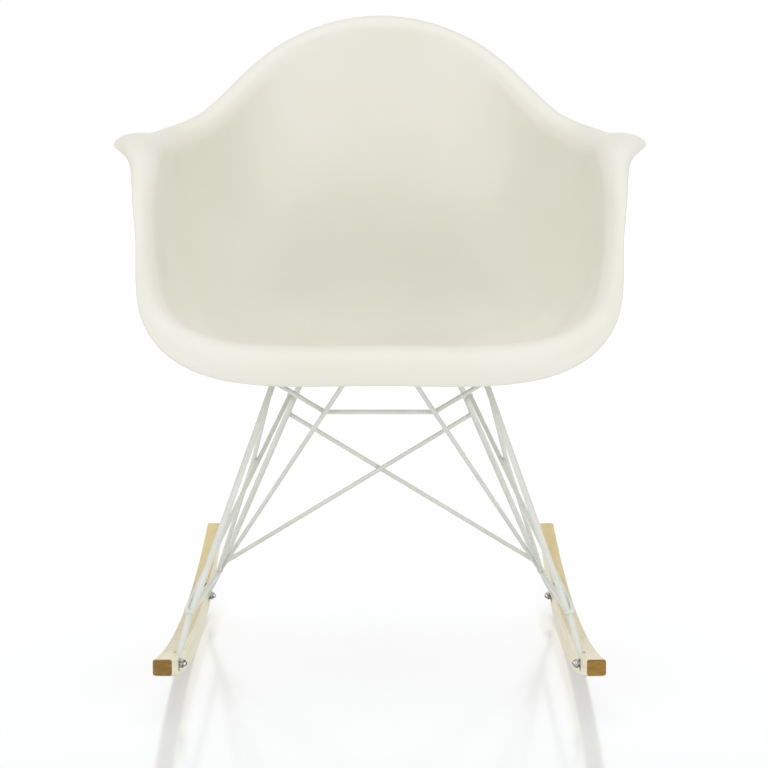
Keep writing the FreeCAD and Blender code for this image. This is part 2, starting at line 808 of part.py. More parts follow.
def make_hoop(rails, rear_legs):
    """One rod from rail to rail, up past the corners of the stretcher and across under the lip."""
    points = []
    for side in (-1.0, 1.0):
        front_node, rear_node = base_place("front_node", side), base_place("rear_node", side)
        back = size("hoop_foot_setback") / (rear_node[1] - front_node[1])
        low = plus(rear_node, plus(front_node, rear_node, -1.0), back)
        corner = base_place("stretcher_corner", side)
        clear = 2.0 * size("light_rod_radius") + size("weld_gap")
        corner = (corner[0], corner[1] - clear, corner[2])
        high = on_line(low, corner, below_front_plate("hoop_top_drop"))
        points.extend([low, high] if side < 0 else [high, low])
    shape = bent_rod(points, size("stretcher_bend_radius"), size("light_rod_radius"))
    for other in list(rails) + list(rear_legs):
        shape = shape.cut(other.Shape)
    item = DOCUMENT.addObject("Part::Feature", "Hoop")
    item.Shape = max(shape.Solids, key=lambda solid: solid.Volume)
    item.Placement = Placement()
    return keep(item, "brace_hoop")


# Seat fixing

def make_plate(name, x, y, height):
    """A round-cornered steel plate with one screw hole."""
    label = "mount_plate_" + name
    side = 1.0 if x > 0 else -1.0
    key = label.title().replace("_", "")
    bar = DOCUMENT.addObject("Part::Box", key + "Bar")
    bind(bar, Length="2 * Sizes.plate_half_length", Width="2 * Sizes.plate_half_width",
         Height="Sizes.plate_thickness")
    end = name.split("_")[0]
    sign = "" if side > 0 else "-"
    middle = "%s(Sizes.%s_screw_half_width + Sizes.%s_top_half_width) / 2" % (sign, end, end)
    bar.setExpression("Placement.Base.x", middle + " - Sizes.plate_half_length")
    bar.setExpression("Placement.Base.y", "Sizes.%s_top_depth - Sizes.plate_half_width" % end)
    bar.setExpression("Placement.Base.z", "Sizes.%s_plate_height" % end)
    DOCUMENT.recompute()
    rounded = DOCUMENT.addObject("Part::Fillet", key + "Round")
    rounded.Base = bar
    upright = [i for i, edge in enumerate(bar.Shape.Edges, start=1)
               if abs(edge.Vertexes[0].X - edge.Vertexes[1].X) < 1e-6
               and abs(edge.Vertexes[0].Y - edge.Vertexes[1].Y) < 1e-6]
    corner = size("plate_corner_radius")
    rounded.Edges = [(i, corner, corner) for i in upright]
    hole = cylinder(key + "Hole", "seat_screw_hole_radius", "plate_thickness", x, end,
                    "Sizes.%s_plate_height" % end)
    cut = DOCUMENT.addObject("Part::Cut", key)
    cut.Base = rounded
    cut.Tool = hole
    return keep(cut, label)


def cylinder(name, radius, height, x, end, foot):
    """An upright cylinder on a seat screw's axis, bound to the sheet."""
    item = DOCUMENT.addObject("Part::Cylinder", name)
    item.setExpression("Radius", radius if "Sizes." in radius else "Sizes." + radius)
    item.setExpression("Height", height if "Sizes." in height else "Sizes." + height)
    sign = "" if x > 0 else "-"
    item.setExpression("Placement.Base.x", "%sSizes.%s_screw_half_width" % (sign, end))
    item.setExpression("Placement.Base.y", "Sizes.%s_top_depth" % end)
    item.setExpression("Placement.Base.z", foot)
    return item


def make_seat_fixing(name, x, y, height):
    """Spacer, insert and screw on one screw axis."""
    end = name.split("_")[0]
    key = name.title().replace("_", "")
    plate_top = "Sizes.%s_plate_height + Sizes.plate_thickness" % end
    boss_foot = plate_top + " + Sizes.spacer_thickness"

    spacer = DOCUMENT.addObject("Part::Cut", "Spacer" + key)
    spacer.Base = cylinder("SpacerDisc" + key, "spacer_radius", "spacer_thickness", x, end,
                           plate_top)
    spacer.Tool = cylinder("SpacerHole" + key, "seat_screw_hole_radius", "spacer_thickness",
                           x, end, plate_top)
    keep(spacer, "shock_mount_" + name)

    insert = DOCUMENT.addObject("Part::Cut", "Insert" + key)
    insert.Base = cylinder("InsertBody" + key, "insert_radius", "insert_length", x, end, boss_foot)
    insert.Tool = cylinder("InsertBore" + key, "Sizes.seat_screw_radius + Sizes.insert_clearance",
                           "insert_length", x, end, boss_foot)
    keep(insert, "threaded_insert_" + name)

    shank = cylinder("ScrewShank" + key, "seat_screw_radius", "seat_screw_length", x, end,
                     "Sizes.%s_plate_height" % end)
    head = cylinder("ScrewHead" + key, "seat_screw_head_radius", "seat_screw_head_height", x, end,
                    "Sizes.%s_plate_height - Sizes.seat_screw_head_height" % end)
    body = DOCUMENT.addObject("Part::Fuse", "ScrewBody" + key)
    body.Base = shank
    body.Tool = head
    socket = DOCUMENT.addObject("Part::Prism", "ScrewSocket" + key)
    socket.Polygon = 6
    bind(socket, Circumradius="Sizes.seat_screw_socket_radius",
         Height="Sizes.seat_screw_head_height / 2")
    sign = "" if x > 0 else "-"
    socket.setExpression("Placement.Base.x", "%sSizes.%s_screw_half_width" % (sign, end))
    socket.setExpression("Placement.Base.y", "Sizes.%s_top_depth" % end)
    socket.setExpression("Placement.Base.z",
                         "Sizes.%s_plate_height - Sizes.seat_screw_head_height" % end)
    screw = DOCUMENT.addObject("Part::Cut", "Screw" + key)
    screw.Base = body
    screw.Tool = socket
    keep(screw, "seat_screw_" + name)


# Rockers

def plane_of(body, role):
    for feature in body.Origin.OriginFeatures:
        if feature.Role == role:
            return feature


def rocker_profile(body):
    """Side view of a rocker: a round sole, a flatter back and square ends."""
    sketch = body.newObject("Sketcher::SketchObject", body.Name + "Profile")
    sketch.AttachmentSupport = [(plane_of(body, "YZ_Plane"), "")]
    sketch.MapMode = "FlatFace"
    sole_radius, back_radius = size("rocker_sole_radius"), size("rocker_back_radius")
    middle = size("rocker_middle_height")
    reaches = (-size("rocker_length") / 2.0 - size("rocker_contact_depth"),
               size("rocker_length") / 2.0 - size("rocker_contact_depth"))
    sole_centre = Vector(0, sole_radius, 0)
    back_centre = Vector(0, middle + back_radius, 0)
    up = Vector(0, 0, 1)

    def drop(reach, radius, foot):
        return foot + radius - sqrt(radius ** 2 - reach ** 2)

    corners = []
    for reach in reaches:
        low = Vector(reach, drop(reach, sole_radius, 0.0), 0)
        high = Vector(reach, drop(reach, back_radius, middle), 0)
        corners.append((low, high))
    quarter = -pi / 2.0
    sole = Part.ArcOfCircle(Part.Circle(sole_centre, up, sole_radius),
                            quarter + asin_of(reaches[0] / sole_radius),
                            quarter + asin_of(reaches[1] / sole_radius))
    back = Part.ArcOfCircle(Part.Circle(back_centre, up, back_radius),
                            quarter + asin_of(reaches[0] / back_radius),
                            quarter + asin_of(reaches[1] / back_radius))
    sketch.addGeometry(sole)
    sketch.addGeometry(back)
    sketch.addGeometry(Part.LineSegment(corners[0][0], corners[0][1]))
    sketch.addGeometry(Part.LineSegment(corners[1][0], corners[1][1]))
    constraint = Sketcher.Constraint
    sketch.addConstraint([
        constraint("Coincident", 0, 1, 2, 1),
        constraint("Coincident", 1, 1, 2, 2),
        constraint("Coincident", 0, 2, 3, 1),
        constraint("Coincident", 1, 2, 3, 2),
        constraint("Vertical", 2),
        constraint("Vertical", 3),
        constraint("PointOnObject", 0, 3, -2),
        constraint("PointOnObject", 1, 3, -2),
    ])
    driven = (
        (constraint("Radius", 0, sole_radius), "sole", "Sizes.rocker_sole_radius"),
        (constraint("Radius", 1, back_radius), "back", "Sizes.rocker_back_radius"),
        (constraint("DistanceY", -1, 1, 0, 3, sole_radius), "sole_centre",
         "Sizes.rocker_sole_radius"),
        (constraint("DistanceY", -1, 1, 1, 3, middle + back_radius), "back_centre",
         "Sizes.rocker_middle_height + Sizes.rocker_back_radius"),
        (constraint("DistanceX", 0, 1, -1, 1, -reaches[0]), "front_reach",
         "Sizes.rocker_length / 2 + Sizes.rocker_contact_depth"),
        (constraint("DistanceX", -1, 1, 0, 2, reaches[1]), "rear_reach",
         "Sizes.rocker_length / 2 - Sizes.rocker_contact_depth"),
    )
    for item, name, expression in driven:
        index = sketch.addConstraint(item)
        sketch.renameConstraint(index, name)
        sketch.setExpression("Constraints." + name, expression)
    return sketch


def asin_of(value):
    return pi / 2.0 - acos(value)


def make_rocker(side):
    """One rocker: bent wood with eased edges, two pockets for the rail's feet and two holes."""
    label = "rocker_" + side_name(side)
    body = DOCUMENT.addObject("PartDesign::Body", "RockerBlank" + side_name(side).title())
    profile = rocker_profile(body)
    pad = body.newObject("PartDesign::Pad", body.Name + "Pad")
    pad.Profile = profile
    pad.setExpression("Length", "Sizes.rocker_thickness")
    pad.Reversed = side < 0
    body.Tip = pad
    DOCUMENT.recompute()
    eased = body.newObject("PartDesign::Chamfer", body.Name + "Eased")
    long_edges = ["Edge%d" % i for i, edge in enumerate(pad.Shape.Edges, start=1)
                  if isinstance(edge.Curve, Part.Circle)]
    eased.Base = (pad, long_edges)
    eased.setExpression("Size", "Sizes.rocker_edge_chamfer")
    body.Tip = eased
    sign = "" if side > 0 else "-"
    body.setExpression("Placement.Base.x", sign + "Sizes.rocker_inner_face")
    body.setExpression("Placement.Base.y", "Sizes.rocker_contact_depth")
    DOCUMENT.recompute()

    shape = body
    inward = Vector(side, 0, 0)
    for index, (bolt, node) in enumerate(foot_places(side)):
        key = "RockerCut%s%d" % (side_name(side).title(), index)
        radius, depth = size("foot_pocket_radius"), size("foot_pocket_depth")
        tall = 3.0 * size("rocker_middle_height")
        slot = Part.makeCylinder(radius, depth, Vector(0, 0, 0), inward)
        corner = Vector(0 if side > 0 else -depth, -radius, 0)
        slot = slot.fuse(Part.makeBox(depth, 2.0 * radius, tall, corner)).removeSplitter()
        thickness = size("rocker_thickness")
        hole = Part.makeCylinder(size("rocker_bolt_hole_radius"), thickness, Vector(0, 0, 0),
                                 inward)
        sink = Part.makeCylinder(size("rocker_bolt_head_radius") + size("insert_clearance"),
                                 size("rocker_bolt_head_height") + size("weld_gap"),
                                 inward * thickness, -inward)
        tool = DOCUMENT.addObject("Part::Feature", key)
        tool.Shape = slot.fuse(hole).fuse(sink)
        tool.Placement = Placement(
            Vector(side * size("rocker_inner_face"), bolt[1], bolt[2]),
            Rotation(Vector(1, 0, 0), -foot_tilt(bolt, node)))
        cut = DOCUMENT.addObject("Part::Cut", key + "Done")
        cut.Base = shape
        cut.Tool = tool
        shape = cut
    return keep(shape, label)


def make_rocker_bolt(side, end, bolt):
    """Flat-headed bolt, washer and domed nut that hold one foot of a rail to its rocker."""
    name = "%s_%s" % (end, side_name(side))
    inward = Vector(-side, 0, 0)
    outer = size("rocker_inner_face") + size("rocker_thickness")
    pad_face = (size("rocker_inner_face") + size("foot_pocket_depth") - size("weld_gap")
                - size("foot_pad_thickness"))
    nut_seat = pad_face - size("washer_thickness")

    def disc(radius, height, start):
        return Part.makeCylinder(radius, height, Vector(side * start, bolt[1], bolt[2]), inward)

    head = disc(size("rocker_bolt_head_radius"), size("rocker_bolt_head_height"), outer)
    shank_length = outer - nut_seat + size("rocker_bolt_thread_in_nut")
    shank = disc(size("rocker_bolt_radius"), shank_length, outer)
    socket = disc(size("rocker_bolt_socket_radius"), size("rocker_bolt_socket_depth"), outer)
    pieces = {"rocker_bolt_": head.fuse(shank).cut(socket).removeSplitter()}
    washer = disc(size("washer_radius"), size("washer_thickness"), pad_face)
    hole = disc(size("rocker_bolt_hole_radius"), size("washer_thickness"), pad_face)
    pieces["rocker_washer_"] = washer.cut(hole)
    corners = [Vector(side * nut_seat,
                      bolt[1] + size("nut_across_corners_radius") * cos(k * pi / 3.0),
                      bolt[2] + size("nut_across_corners_radius") * sin(k * pi / 3.0))
               for k in range(7)]
    nut = Part.Face(Part.makePolygon(corners)).extrude(inward * size("nut_height"))
    dome = Part.makeSphere(size("nut_dome_radius"),
                           Vector(side * (nut_seat - size("nut_height")), bolt[1], bolt[2]))
    bore = disc(size("rocker_bolt_radius") + size("insert_clearance") / 2.0,
                size("nut_height"), nut_seat)
    ahead = disc(2.0 * size("nut_dome_radius"), size("nut_height") + size("nut_dome_radius"),
                 nut_seat)
    pieces["cap_nut_"] = nut.fuse(dome.common(ahead)).cut(bore)
    for prefix, shape in pieces.items():
        item = DOCUMENT.addObject("Part::Feature", (prefix + name).title().replace("_", ""))
        item.Shape = shape.Solids[0]
        item.Placement = Placement()
        keep(item, prefix + name)


def build():
    plates = {name: make_plate(name, x, y, height) for name, x, y, height in screw_places()}
    rails, front_legs, rear_legs = {}, {}, {}
    for side in (-1.0, 1.0):
        rails[side] = make_rail(side)
        front_legs[side] = make_front_leg(side, rails[side], plates["front_" + side_name(side)])
        rear_legs[side] = make_rear_leg(side, rails[side], plates["rear_" + side_name(side)])
    DOCUMENT.recompute()
    for side in (-1.0, 1.0):
        make_fore_brace(side, rails[side], front_legs[side], rear_legs[side])
        make_aft_brace(side, rails[side], front_legs[side])
        make_cross_brace(side, list(rear_legs.values()))
    make_stretcher(front_legs.values())
    make_hoop(rails.values(), rear_legs.values())
    for name, x, y, height in screw_places():
        make_seat_fixing(name, x, y, height)
    for side in (-1.0, 1.0):
        make_rocker(side)
        for end, (bolt, node) in zip(("front", "rear"), foot_places(side)):
            make_rocker_bolt(side, end, bolt)
    make_seat_shell()


def write_parts():
    DOCUMENT.recompute()
    for item in DOCUMENT.Objects:
        if "Invalid" in item.State or "Error" in item.State:
            raise RuntimeError("%s did not build: %s" % (item.Label, item.State))
    os.makedirs("parts", exist_ok=True)
    for item in PARTS:
        shape = item.Shape
        if shape.isNull() or not shape.isValid() or not shape.Solids:
            raise RuntimeError(item.Label + " has no valid solid")
        # A rod trimmed to a round rod can leave a crumb beyond it, which isn't part of the piece.
        shape = max(shape.Solids, key=lambda solid: solid.Volume)
        shape.exportStep(os.path.join("parts", item.Label + ".step"))
        print("%-28s %10.1f mm3" % (item.Label, shape.Volume))


build()
write_parts()
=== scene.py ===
# %% [markdown]
# # A moulded armchair on rockers
#
# The chair has three parts that are made in three ways. A press moulds the seat from white
# plastic, a bending bench and a welder make the base from steel rod, and a steam box bends the
# two rockers. The cells below follow the same order. Every number is in metres in the scene, and
# the tables are in millimetres, as on a workshop drawing.

# %% Start from the measured frame
from math import cos, degrees, pi, radians, sin, sqrt, tan

import bmesh
import bpy
import numpy as np
from mathutils import Matrix, Vector


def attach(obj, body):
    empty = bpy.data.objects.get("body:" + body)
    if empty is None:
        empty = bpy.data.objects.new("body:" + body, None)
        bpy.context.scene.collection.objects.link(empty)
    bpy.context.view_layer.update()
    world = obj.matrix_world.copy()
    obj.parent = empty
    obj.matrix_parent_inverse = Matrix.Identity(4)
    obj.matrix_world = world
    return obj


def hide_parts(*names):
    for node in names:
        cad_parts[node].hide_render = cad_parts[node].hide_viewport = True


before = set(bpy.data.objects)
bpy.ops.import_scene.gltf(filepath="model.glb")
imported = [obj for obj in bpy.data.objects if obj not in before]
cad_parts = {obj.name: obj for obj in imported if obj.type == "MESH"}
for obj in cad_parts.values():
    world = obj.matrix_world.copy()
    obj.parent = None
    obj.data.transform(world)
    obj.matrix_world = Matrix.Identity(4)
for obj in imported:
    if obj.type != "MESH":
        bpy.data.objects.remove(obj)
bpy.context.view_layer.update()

MM = 0.001

# %% [markdown]
# ## Working by hand in code
#
# An operator acts on all that is selected, and the frame arrives selected. So each step first
# clears the selection, and then picks its own object, faces or edges.

# %% Helpers for selecting and editing


def only(piece):
    """Selects one object alone."""
    bpy.ops.object.select_all(action="DESELECT")
    piece.select_set(True)
    bpy.context.view_layer.objects.active = piece


def start_edit(piece, kind="EDGE"):
    """Opens a piece for editing, with nothing picked."""
    only(piece)
    bpy.ops.object.mode_set(mode="EDIT")
    bpy.ops.mesh.select_mode(type=kind)
    bpy.ops.mesh.select_all(action="DESELECT")


def end_edit():
    """Closes the piece that is open for editing."""
    bpy.ops.object.mode_set(mode="OBJECT")


def pick(piece, what, test):
    """Picks the edges or faces that pass a test."""
    mesh = bmesh.from_edit_mesh(piece.data)
    for item in getattr(mesh, what):
        item.select_set(bool(test(item)))
    mesh.select_flush_mode()
    bmesh.update_edit_mesh(piece.data)


def named(name):
    """Names the object that was just added, and puts its place into its mesh."""
    piece = bpy.context.object
    piece.name = name
    piece.data.name = name
    only(piece)
    bpy.ops.object.transform_apply(location=True, rotation=True, scale=True)
    return piece


def finish_with(piece, kind, **settings):
    """Adds a modifier and applies it."""
    only(piece)
    modifier = piece.modifiers.new(kind.title(), kind)
    for key, value in settings.items():
        setattr(modifier, key, value)
    bpy.ops.object.modifier_apply(modifier=modifier.name)


def rounded(piece, width, segments, angle):
    """Rounds the edges that are sharper than an angle. Width is in millimetres."""
    finish_with(piece, "BEVEL", width=width * MM, segments=segments, limit_method="ANGLE",
                angle_limit=radians(angle))


def cut(piece, cutter):
    """Takes the cutter's shape out of a piece and throws the cutter away."""
    finish_with(piece, "BOOLEAN", operation="DIFFERENCE", object=cutter, solver="EXACT")
    bpy.data.objects.remove(cutter)


def round_bar(name, radius, start, end, vertices=48):
    """A plain round bar between two points, in millimetres."""
    start, end = Vector(start) * MM, Vector(end) * MM
    bpy.ops.object.select_all(action="DESELECT")
    bpy.ops.mesh.primitive_cylinder_add(
        vertices=vertices, radius=radius * MM, depth=(end - start).length,
        location=(start + end) / 2, rotation=(end - start).to_track_quat("Z", "Y").to_euler())
    return named(name)


def tidy_mesh(piece, angle=35.0):
    """Merges doubled points, turns the faces outward and shades the gentle edges smooth."""
    start_edit(piece)
    bpy.ops.mesh.select_all(action="SELECT")
    bpy.ops.mesh.remove_doubles(threshold=1e-6)
    bpy.ops.mesh.normals_make_consistent(inside=False)
    end_edit()
    only(piece)
    bpy.ops.object.shade_smooth_by_angle(angle=radians(angle))
    return piece


def moved(piece, matrix):
    """Puts a piece in its place, with the object itself left at the origin."""
    piece.data.transform(matrix)
    return piece


def set_along(piece, place, way):
    """Turns a piece so that its Z points along way, and moves it to a place in millimetres."""
    turn = Vector(way).to_track_quat("Z", "Y").to_matrix().to_4x4()
    return moved(piece, Matrix.Translation(Vector(place) * MM) @ turn)


def mirrored(piece):
    """The left-hand twin of a right-hand piece, with a mesh of its own."""
    twin = piece.copy()
    twin.data = piece.data.copy()
    twin.name = piece.name.replace("right", "left")
    twin.data.name = twin.name
    bpy.context.scene.collection.objects.link(twin)
    twin.data.transform(Matrix.Diagonal((-1.0, 1.0, 1.0, 1.0)))
    twin.data.flip_normals()
    return twin


def settle(piece, slot, *nodes):
    """Lets a piece ride with the chair, in the finish of its slot, in place of CAD nodes."""
    piece.data.materials.clear()
    piece.data.materials.append(FINISHES[slot])
    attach(piece, "root")
    if nodes:
        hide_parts(*nodes)
    return piece


def settle_pair(piece, slot, stem=None):
    """Settles a right-hand piece and its twin. Stem starts the names of their two CAD nodes. The
    twin is copied first, so each of the two replaces its own node alone."""
    twin = mirrored(piece)
    for side, item in (("right", piece), ("left", twin)):
        nodes = ["%s_%s" % (stem, side)] if stem else []
        settle(item, slot, *nodes)


def settle_then_mirror(piece, slot, stem):
    """Settles a right-hand piece, and then its twin, which is copied from the settled piece. Each
    hides its own CAD node."""
    settle(piece, slot, stem + "_right")
    settle(mirrored(piece), slot, stem + "_left")


SIDES = {"left": -1.0, "right": 1.0}

# %% [markdown]
# ## The view
#
# The photograph was taken from 2.9 m away with a long lens, a little above the arms, and the
# camera looks down by less than seven degrees. The chair stands slightly left of the middle.

# %% Camera
camera = bpy.data.objects.new("camera", bpy.data.cameras.new("camera"))
bpy.context.scene.collection.objects.link(camera)
camera.data.sensor_width = 36.0
camera.data.lens = 114.6
camera.location = (0.0048, -2.927, 0.654)
camera.rotation_euler = (radians(90.0 - 6.63), 0.0, 0.0)
bpy.context.scene.camera = camera
print("camera", tuple(camera.location), "lens", camera.data.lens)

# %% [markdown]
# ## Finishes
#
# A finish is a tree of shader nodes. Written out link by link it is hard to read, so a small class
# wraps the output of a node. Such a wire adds, subtracts, multiplies and divides as a number does,
# and each sign makes the node behind it. A second class holds one material and makes its other
# nodes.

# %% Arithmetic with shader nodes


class Wire:
    """The output of a shader node, for use in sums."""

    def __init__(self, finish, socket):
        self.finish = finish
        self.socket = socket

    def math(self, operation, *values):
        return self.finish.make("Math", {"operation": operation}, *values)

    def __add__(self, other):
        return self.math("ADD", self, other)

    def __radd__(self, other):
        return self.math("ADD", other, self)

    def __sub__(self, other):
        return self.math("SUBTRACT", self, other)

    def __rsub__(self, other):
        return self.math("SUBTRACT", other, self)

    def __mul__(self, other):
        return self.math("MULTIPLY", self, other)

    def __rmul__(self, other):
        return self.math("MULTIPLY", other, self)

    def __truediv__(self, other):
        return self.math("DIVIDE", self, other)

    def __rtruediv__(self, other):
        return self.math("DIVIDE", other, self)

    def __abs__(self):
        return self.math("ABSOLUTE", self)

    def eased(self, low, high):
        """Rises smoothly from 0 at low to 1 at high."""
        return self.finish.make("MapRange", {"interpolation_type": "SMOOTHSTEP"}, self, low, high)


class Finish:
    """One material, and the nodes that make it."""

    def __init__(self, name):
        self.material = bpy.data.materials.new(name)
        self.material.use_nodes = True
        self.tree = self.material.node_tree
        self.surface = self.tree.nodes["Principled BSDF"]

    def put(self, value, socket):
        """Links a wire to a socket, or sets the socket to a plain value."""
        if isinstance(value, Wire):
            self.tree.links.new(value.socket, socket)
        elif value is not None:
            socket.default_value = value

    def make(self, kind, settings, *values, out=0, **named_values):
        """Adds a node: its settings come first, then the values or wires of its inputs."""
        node = self.tree.nodes.new("ShaderNode" + kind)
        for key, value in settings.items():
            setattr(node, key, value)
        for value, socket in zip(values, node.inputs):
            self.put(value, socket)
        for key, value in named_values.items():
            self.put(value, node.inputs[key])
        return Wire(self, node.outputs[out])

    def place(self):
        """Where a point lies in the piece, in metres."""
        return self.make("TexCoord", {}, out="Object")

    def part(self, vector, axis):
        """One of the three numbers of a vector."""
        return self.make("SeparateXYZ", {}, vector, out=axis)

    def stretched(self, vector, factors):
        """A vector with each of its numbers times its own factor."""
        return self.make("VectorMath", {"operation": "MULTIPLY"}, vector, factors)

    def noise(self, vector, scale, detail=2.0, roughness=0.5):
        """Soft cloudy values around a half, with about scale clouds to the metre."""
        return self.make("TexNoise", {}, Vector=vector, Scale=scale, Detail=detail,
                         Roughness=roughness)

    def mix(self, share, one, other):
        """One colour where share is 0, the other where it is 1."""
        gap = [None] * 5
        return self.make("Mix", {"data_type": "RGBA"}, share, *gap, one, other, out=2)

    def bump(self, height, depth):
        """A normal for small hills, whose height from 0 to 1 stands for the depth in metres."""
        return self.make("Bump", {}, Strength=1.0, Distance=depth, Height=height)

    def dress(self, **values):
        """Sets the surface, with underscores for the spaces in the names of its sockets."""
        for key, value in values.items():
            self.put(value, self.surface.inputs[key.replace("_", " ")])
        return self.material


def paint(red, green, blue):
    """A colour from the three values that a screen shows, 0 to 255."""
    def linear(value):
        value /= 255.0
        return value / 12.92 if value <= 0.04045 else ((value + 0.055) / 1.055) ** 2.4
    return (linear(red), linear(green), linear(blue), 1.0)


# %% [markdown]
# The moulded plastic is dyed right through. Its colour drifts a little where it flowed into the
# mould, and a fine grain keeps its shine soft. The rods are powder coated, which leaves the faint
# ripple of orange peel.

# %% Plastic and powder coat


def moulded_plastic():
    finish = Finish("off_white_plastic")
    place = finish.place()
    flow = finish.noise(place, 7.0, 3.0)
    grain = finish.noise(place, 1400.0, 1.0)
    wave = finish.noise(place, 22.0, 1.0)
    tone = finish.mix(flow.eased(0.3, 0.7), paint(231, 229, 216), paint(234, 232, 222))
    return finish.dress(
        Base_Color=tone, Roughness=0.36 + flow * 0.10, Specular_IOR_Level=0.42,
        Normal=finish.bump(grain * 0.35 + wave * 2.0, 0.00005))


def powder_coat():
    finish = Finish("off_white_powder_coat")
    place = finish.place()
    peel = finish.noise(place, 620.0, 2.0)
    drift = finish.noise(place, 30.0, 2.0)
    tone = finish.mix(drift.eased(0.35, 0.65), paint(221, 222, 214), paint(227, 228, 221))
    return finish.dress(
        Base_Color=tone, Roughness=0.34 + drift * 0.12, Specular_IOR_Level=0.45,
        Normal=finish.bump(peel, 0.00012))


# %% [markdown]
# The grain of steam-bent maple follows the bend. So its pattern is bent back first: the height of
# a point is lowered by the rise of an arc, after which the grain runs level. End grain drinks the
# lacquer and turns ochre, and the deep ochre of the end faces is partly painted shade. The sole,
# the face that points down, is painted grey as painted shade under the rocker.

# %% Wood


def bent_maple():
    finish = Finish("bent_maple")
    place = finish.place()
    across, along, height = (finish.part(place, axis) for axis in "XYZ")
    lowest_point, mean_radius = -0.015, 1.85
    reach = along - lowest_point
    level = height - reach * reach / (2.0 * mean_radius)
    flat = finish.make("CombineXYZ", {}, across, along, level)
    growth = finish.noise(finish.stretched(flat, (16.0, 1.1, 26.0)), 1.0, 2.0, 0.45)
    rings = finish.make("Math", {"operation": "SINE"}, growth * 46.0)
    fibre = finish.noise(finish.stretched(flat, (900.0, 16.0, 1100.0)), 1.0, 3.0)
    fleck = finish.noise(finish.stretched(flat, (420.0, 60.0, 300.0)), 1.0, 1.0)
    facing = finish.make("NewGeometry", {}, out="Normal")
    side_on = abs(finish.part(facing, "X"))
    # the face that points down, the sole, which gets painted shade
    sole = (finish.part(facing, "Z") * -1.0).eased(0.6, 0.95)
    # the ends of a rocker lie 405 mm from the middle, and their edges are rounded
    end_on = abs(along).eased(0.4018, 0.4036)
    shade = rings.eased(-1.0, 1.0) * 0.45 + fibre.eased(0.25, 0.75) * 0.35 \
        + fleck.eased(0.55, 0.75) * 0.2
    sides = finish.mix(shade, paint(242, 235, 208), paint(230, 219, 182))
    pale = finish.mix(shade, paint(241, 231, 203), paint(228, 212, 172))
    golden = finish.mix(shade, paint(228, 208, 152), paint(210, 184, 120))
    faces = finish.mix(along.eased(-0.28, 0.2), pale, golden)
    long_faces = finish.mix(side_on.eased(0.45, 0.9), faces, sides)
    pores = finish.noise(finish.stretched(place, (700.0, 1.0, 700.0)), 1.0, 2.0)
    layers = finish.noise(finish.stretched(place, (60.0, 1.0, 300.0)), 1.0, 2.0)
    end_grain = pores * 0.4 + layers.eased(0.35, 0.65) * 0.6
    # the ends: ochre of lacquered end grain, made deeper as painted shade of the end faces
    ends = finish.mix(end_grain, paint(164, 124, 46), paint(116, 84, 24))
    # painted shade: the sole is grey, standing in for the shadow under the rocker, with pores in it
    shaded_sole = finish.mix(pores, paint(168, 158, 140), paint(140, 132, 118))
    tone = finish.mix(end_on, finish.mix(sole, long_faces, shaded_sole), ends)
    return finish.dress(
        Base_Color=tone, Roughness=0.38 + fibre * 0.14, Specular_IOR_Level=0.4,
        Coat_Weight=0.15, Coat_Roughness=0.2,
        Normal=finish.bump(fibre + rings * 0.3, 0.00008))


# %% [markdown]
# The fasteners are small, so most of what is seen of them is reflection. Plating is close to a
# mirror, and small dark and light patches stand in for the dark corners of a real room. Zinc and
# brass are rougher and more even. Black rubber has a dull grey bloom.

# %% Metals and rubber


def plated_metal(name, dark, light, roughness, scratch, patch=90.0):
    """Bright metal with level scratches, and patches of two tones. Patch is their number to the
    metre."""
    finish = Finish(name)
    place = finish.place()
    marks = finish.noise(finish.stretched(place, (300.0, 300.0, 2200.0)), 1.0, 3.0)
    patches = finish.noise(place, patch, 2.0)
    tone = finish.mix(patches.eased(0.3, 0.7), dark, light)
    return finish.dress(
        Base_Color=tone, Metallic=1.0, Roughness=roughness + marks * scratch,
        Normal=finish.bump(marks, 0.00003))


def black_rubber():
    finish = Finish("black_rubber")
    place = finish.place()
    bloom = finish.noise(place, 160.0, 3.0)
    tone = finish.mix(bloom.eased(0.3, 0.7), paint(30, 30, 30), paint(48, 47, 46))
    return finish.dress(Base_Color=tone, Roughness=0.62 + bloom * 0.2,
                        Normal=finish.bump(bloom, 0.0001))


FINISHES = {
    "shell_plastic": moulded_plastic(),
    "rod_paint": powder_coat(),
    "rocker_wood": bent_maple(),
    "bolt_chrome": plated_metal("bright_plating", paint(84, 86, 80), paint(206, 206, 200),
                                0.08, 0.10, 380.0),
    "fixing_steel": plated_metal("zinc_plated_steel", paint(160, 160, 160), paint(188, 188, 186),
                                 0.34, 0.16),
    "mount_rubber": black_rubber(),
    "insert_brass": plated_metal("brass", paint(190, 152, 84), paint(214, 178, 108), 0.28, 0.14),
}
print("finishes", sorted(FINISHES))

# %% [markdown]
# ## The seat: a bucket with a rolled edge
#
# The real seat leaves its mould as one skin of even thickness. A flat grid is the start here. Its
# points move onto U sections that fan out from the front lip to the top of the back, so the rows
# run across the seat and the columns run along it, as a pattern maker's battens would. The open
# border is then extruded several times along an arc, which makes the rolled edge, and the wall
# gets its thickness last.

# %% Stations of the bucket
# side, depth and height of the middle line, from the front lip to the top of the back
SEAT_MIDDLE = [
    (0, -272, 388), (0, -120, 358), (0, 10, 344), (0, 110, 361),
    (0, 178, 428), (0, 222, 553), (0, 258, 742),
]
# half width, depth and height of the line where the roll starts, then the mean radius of the roll,
# its angle, how soon it bends, and the extra angle by which its free end dips
SEAT_EDGE = [
    (0, -272, 388, 36, 110, 1.0, 0), (179, -265, 395, 34, 108, 1.0, 0),
    (229, -239, 421, 27, 98, 1.0, 0), (252, -178, 511, 22, 88, 1.0, 0),
    (254, -101, 570, 26, 104, 1.5, 45), (252, -44, 588, 42, 106, 2.0, 35),
    (239, 85, 588, 31, 97, 1.2, 2), (200, 142, 614, 25, 93, 1.0, 0),
    (106, 228, 711, 22, 87, 1.0, 0), (0, 258, 742, 25, 87, 1.0, 0),
]
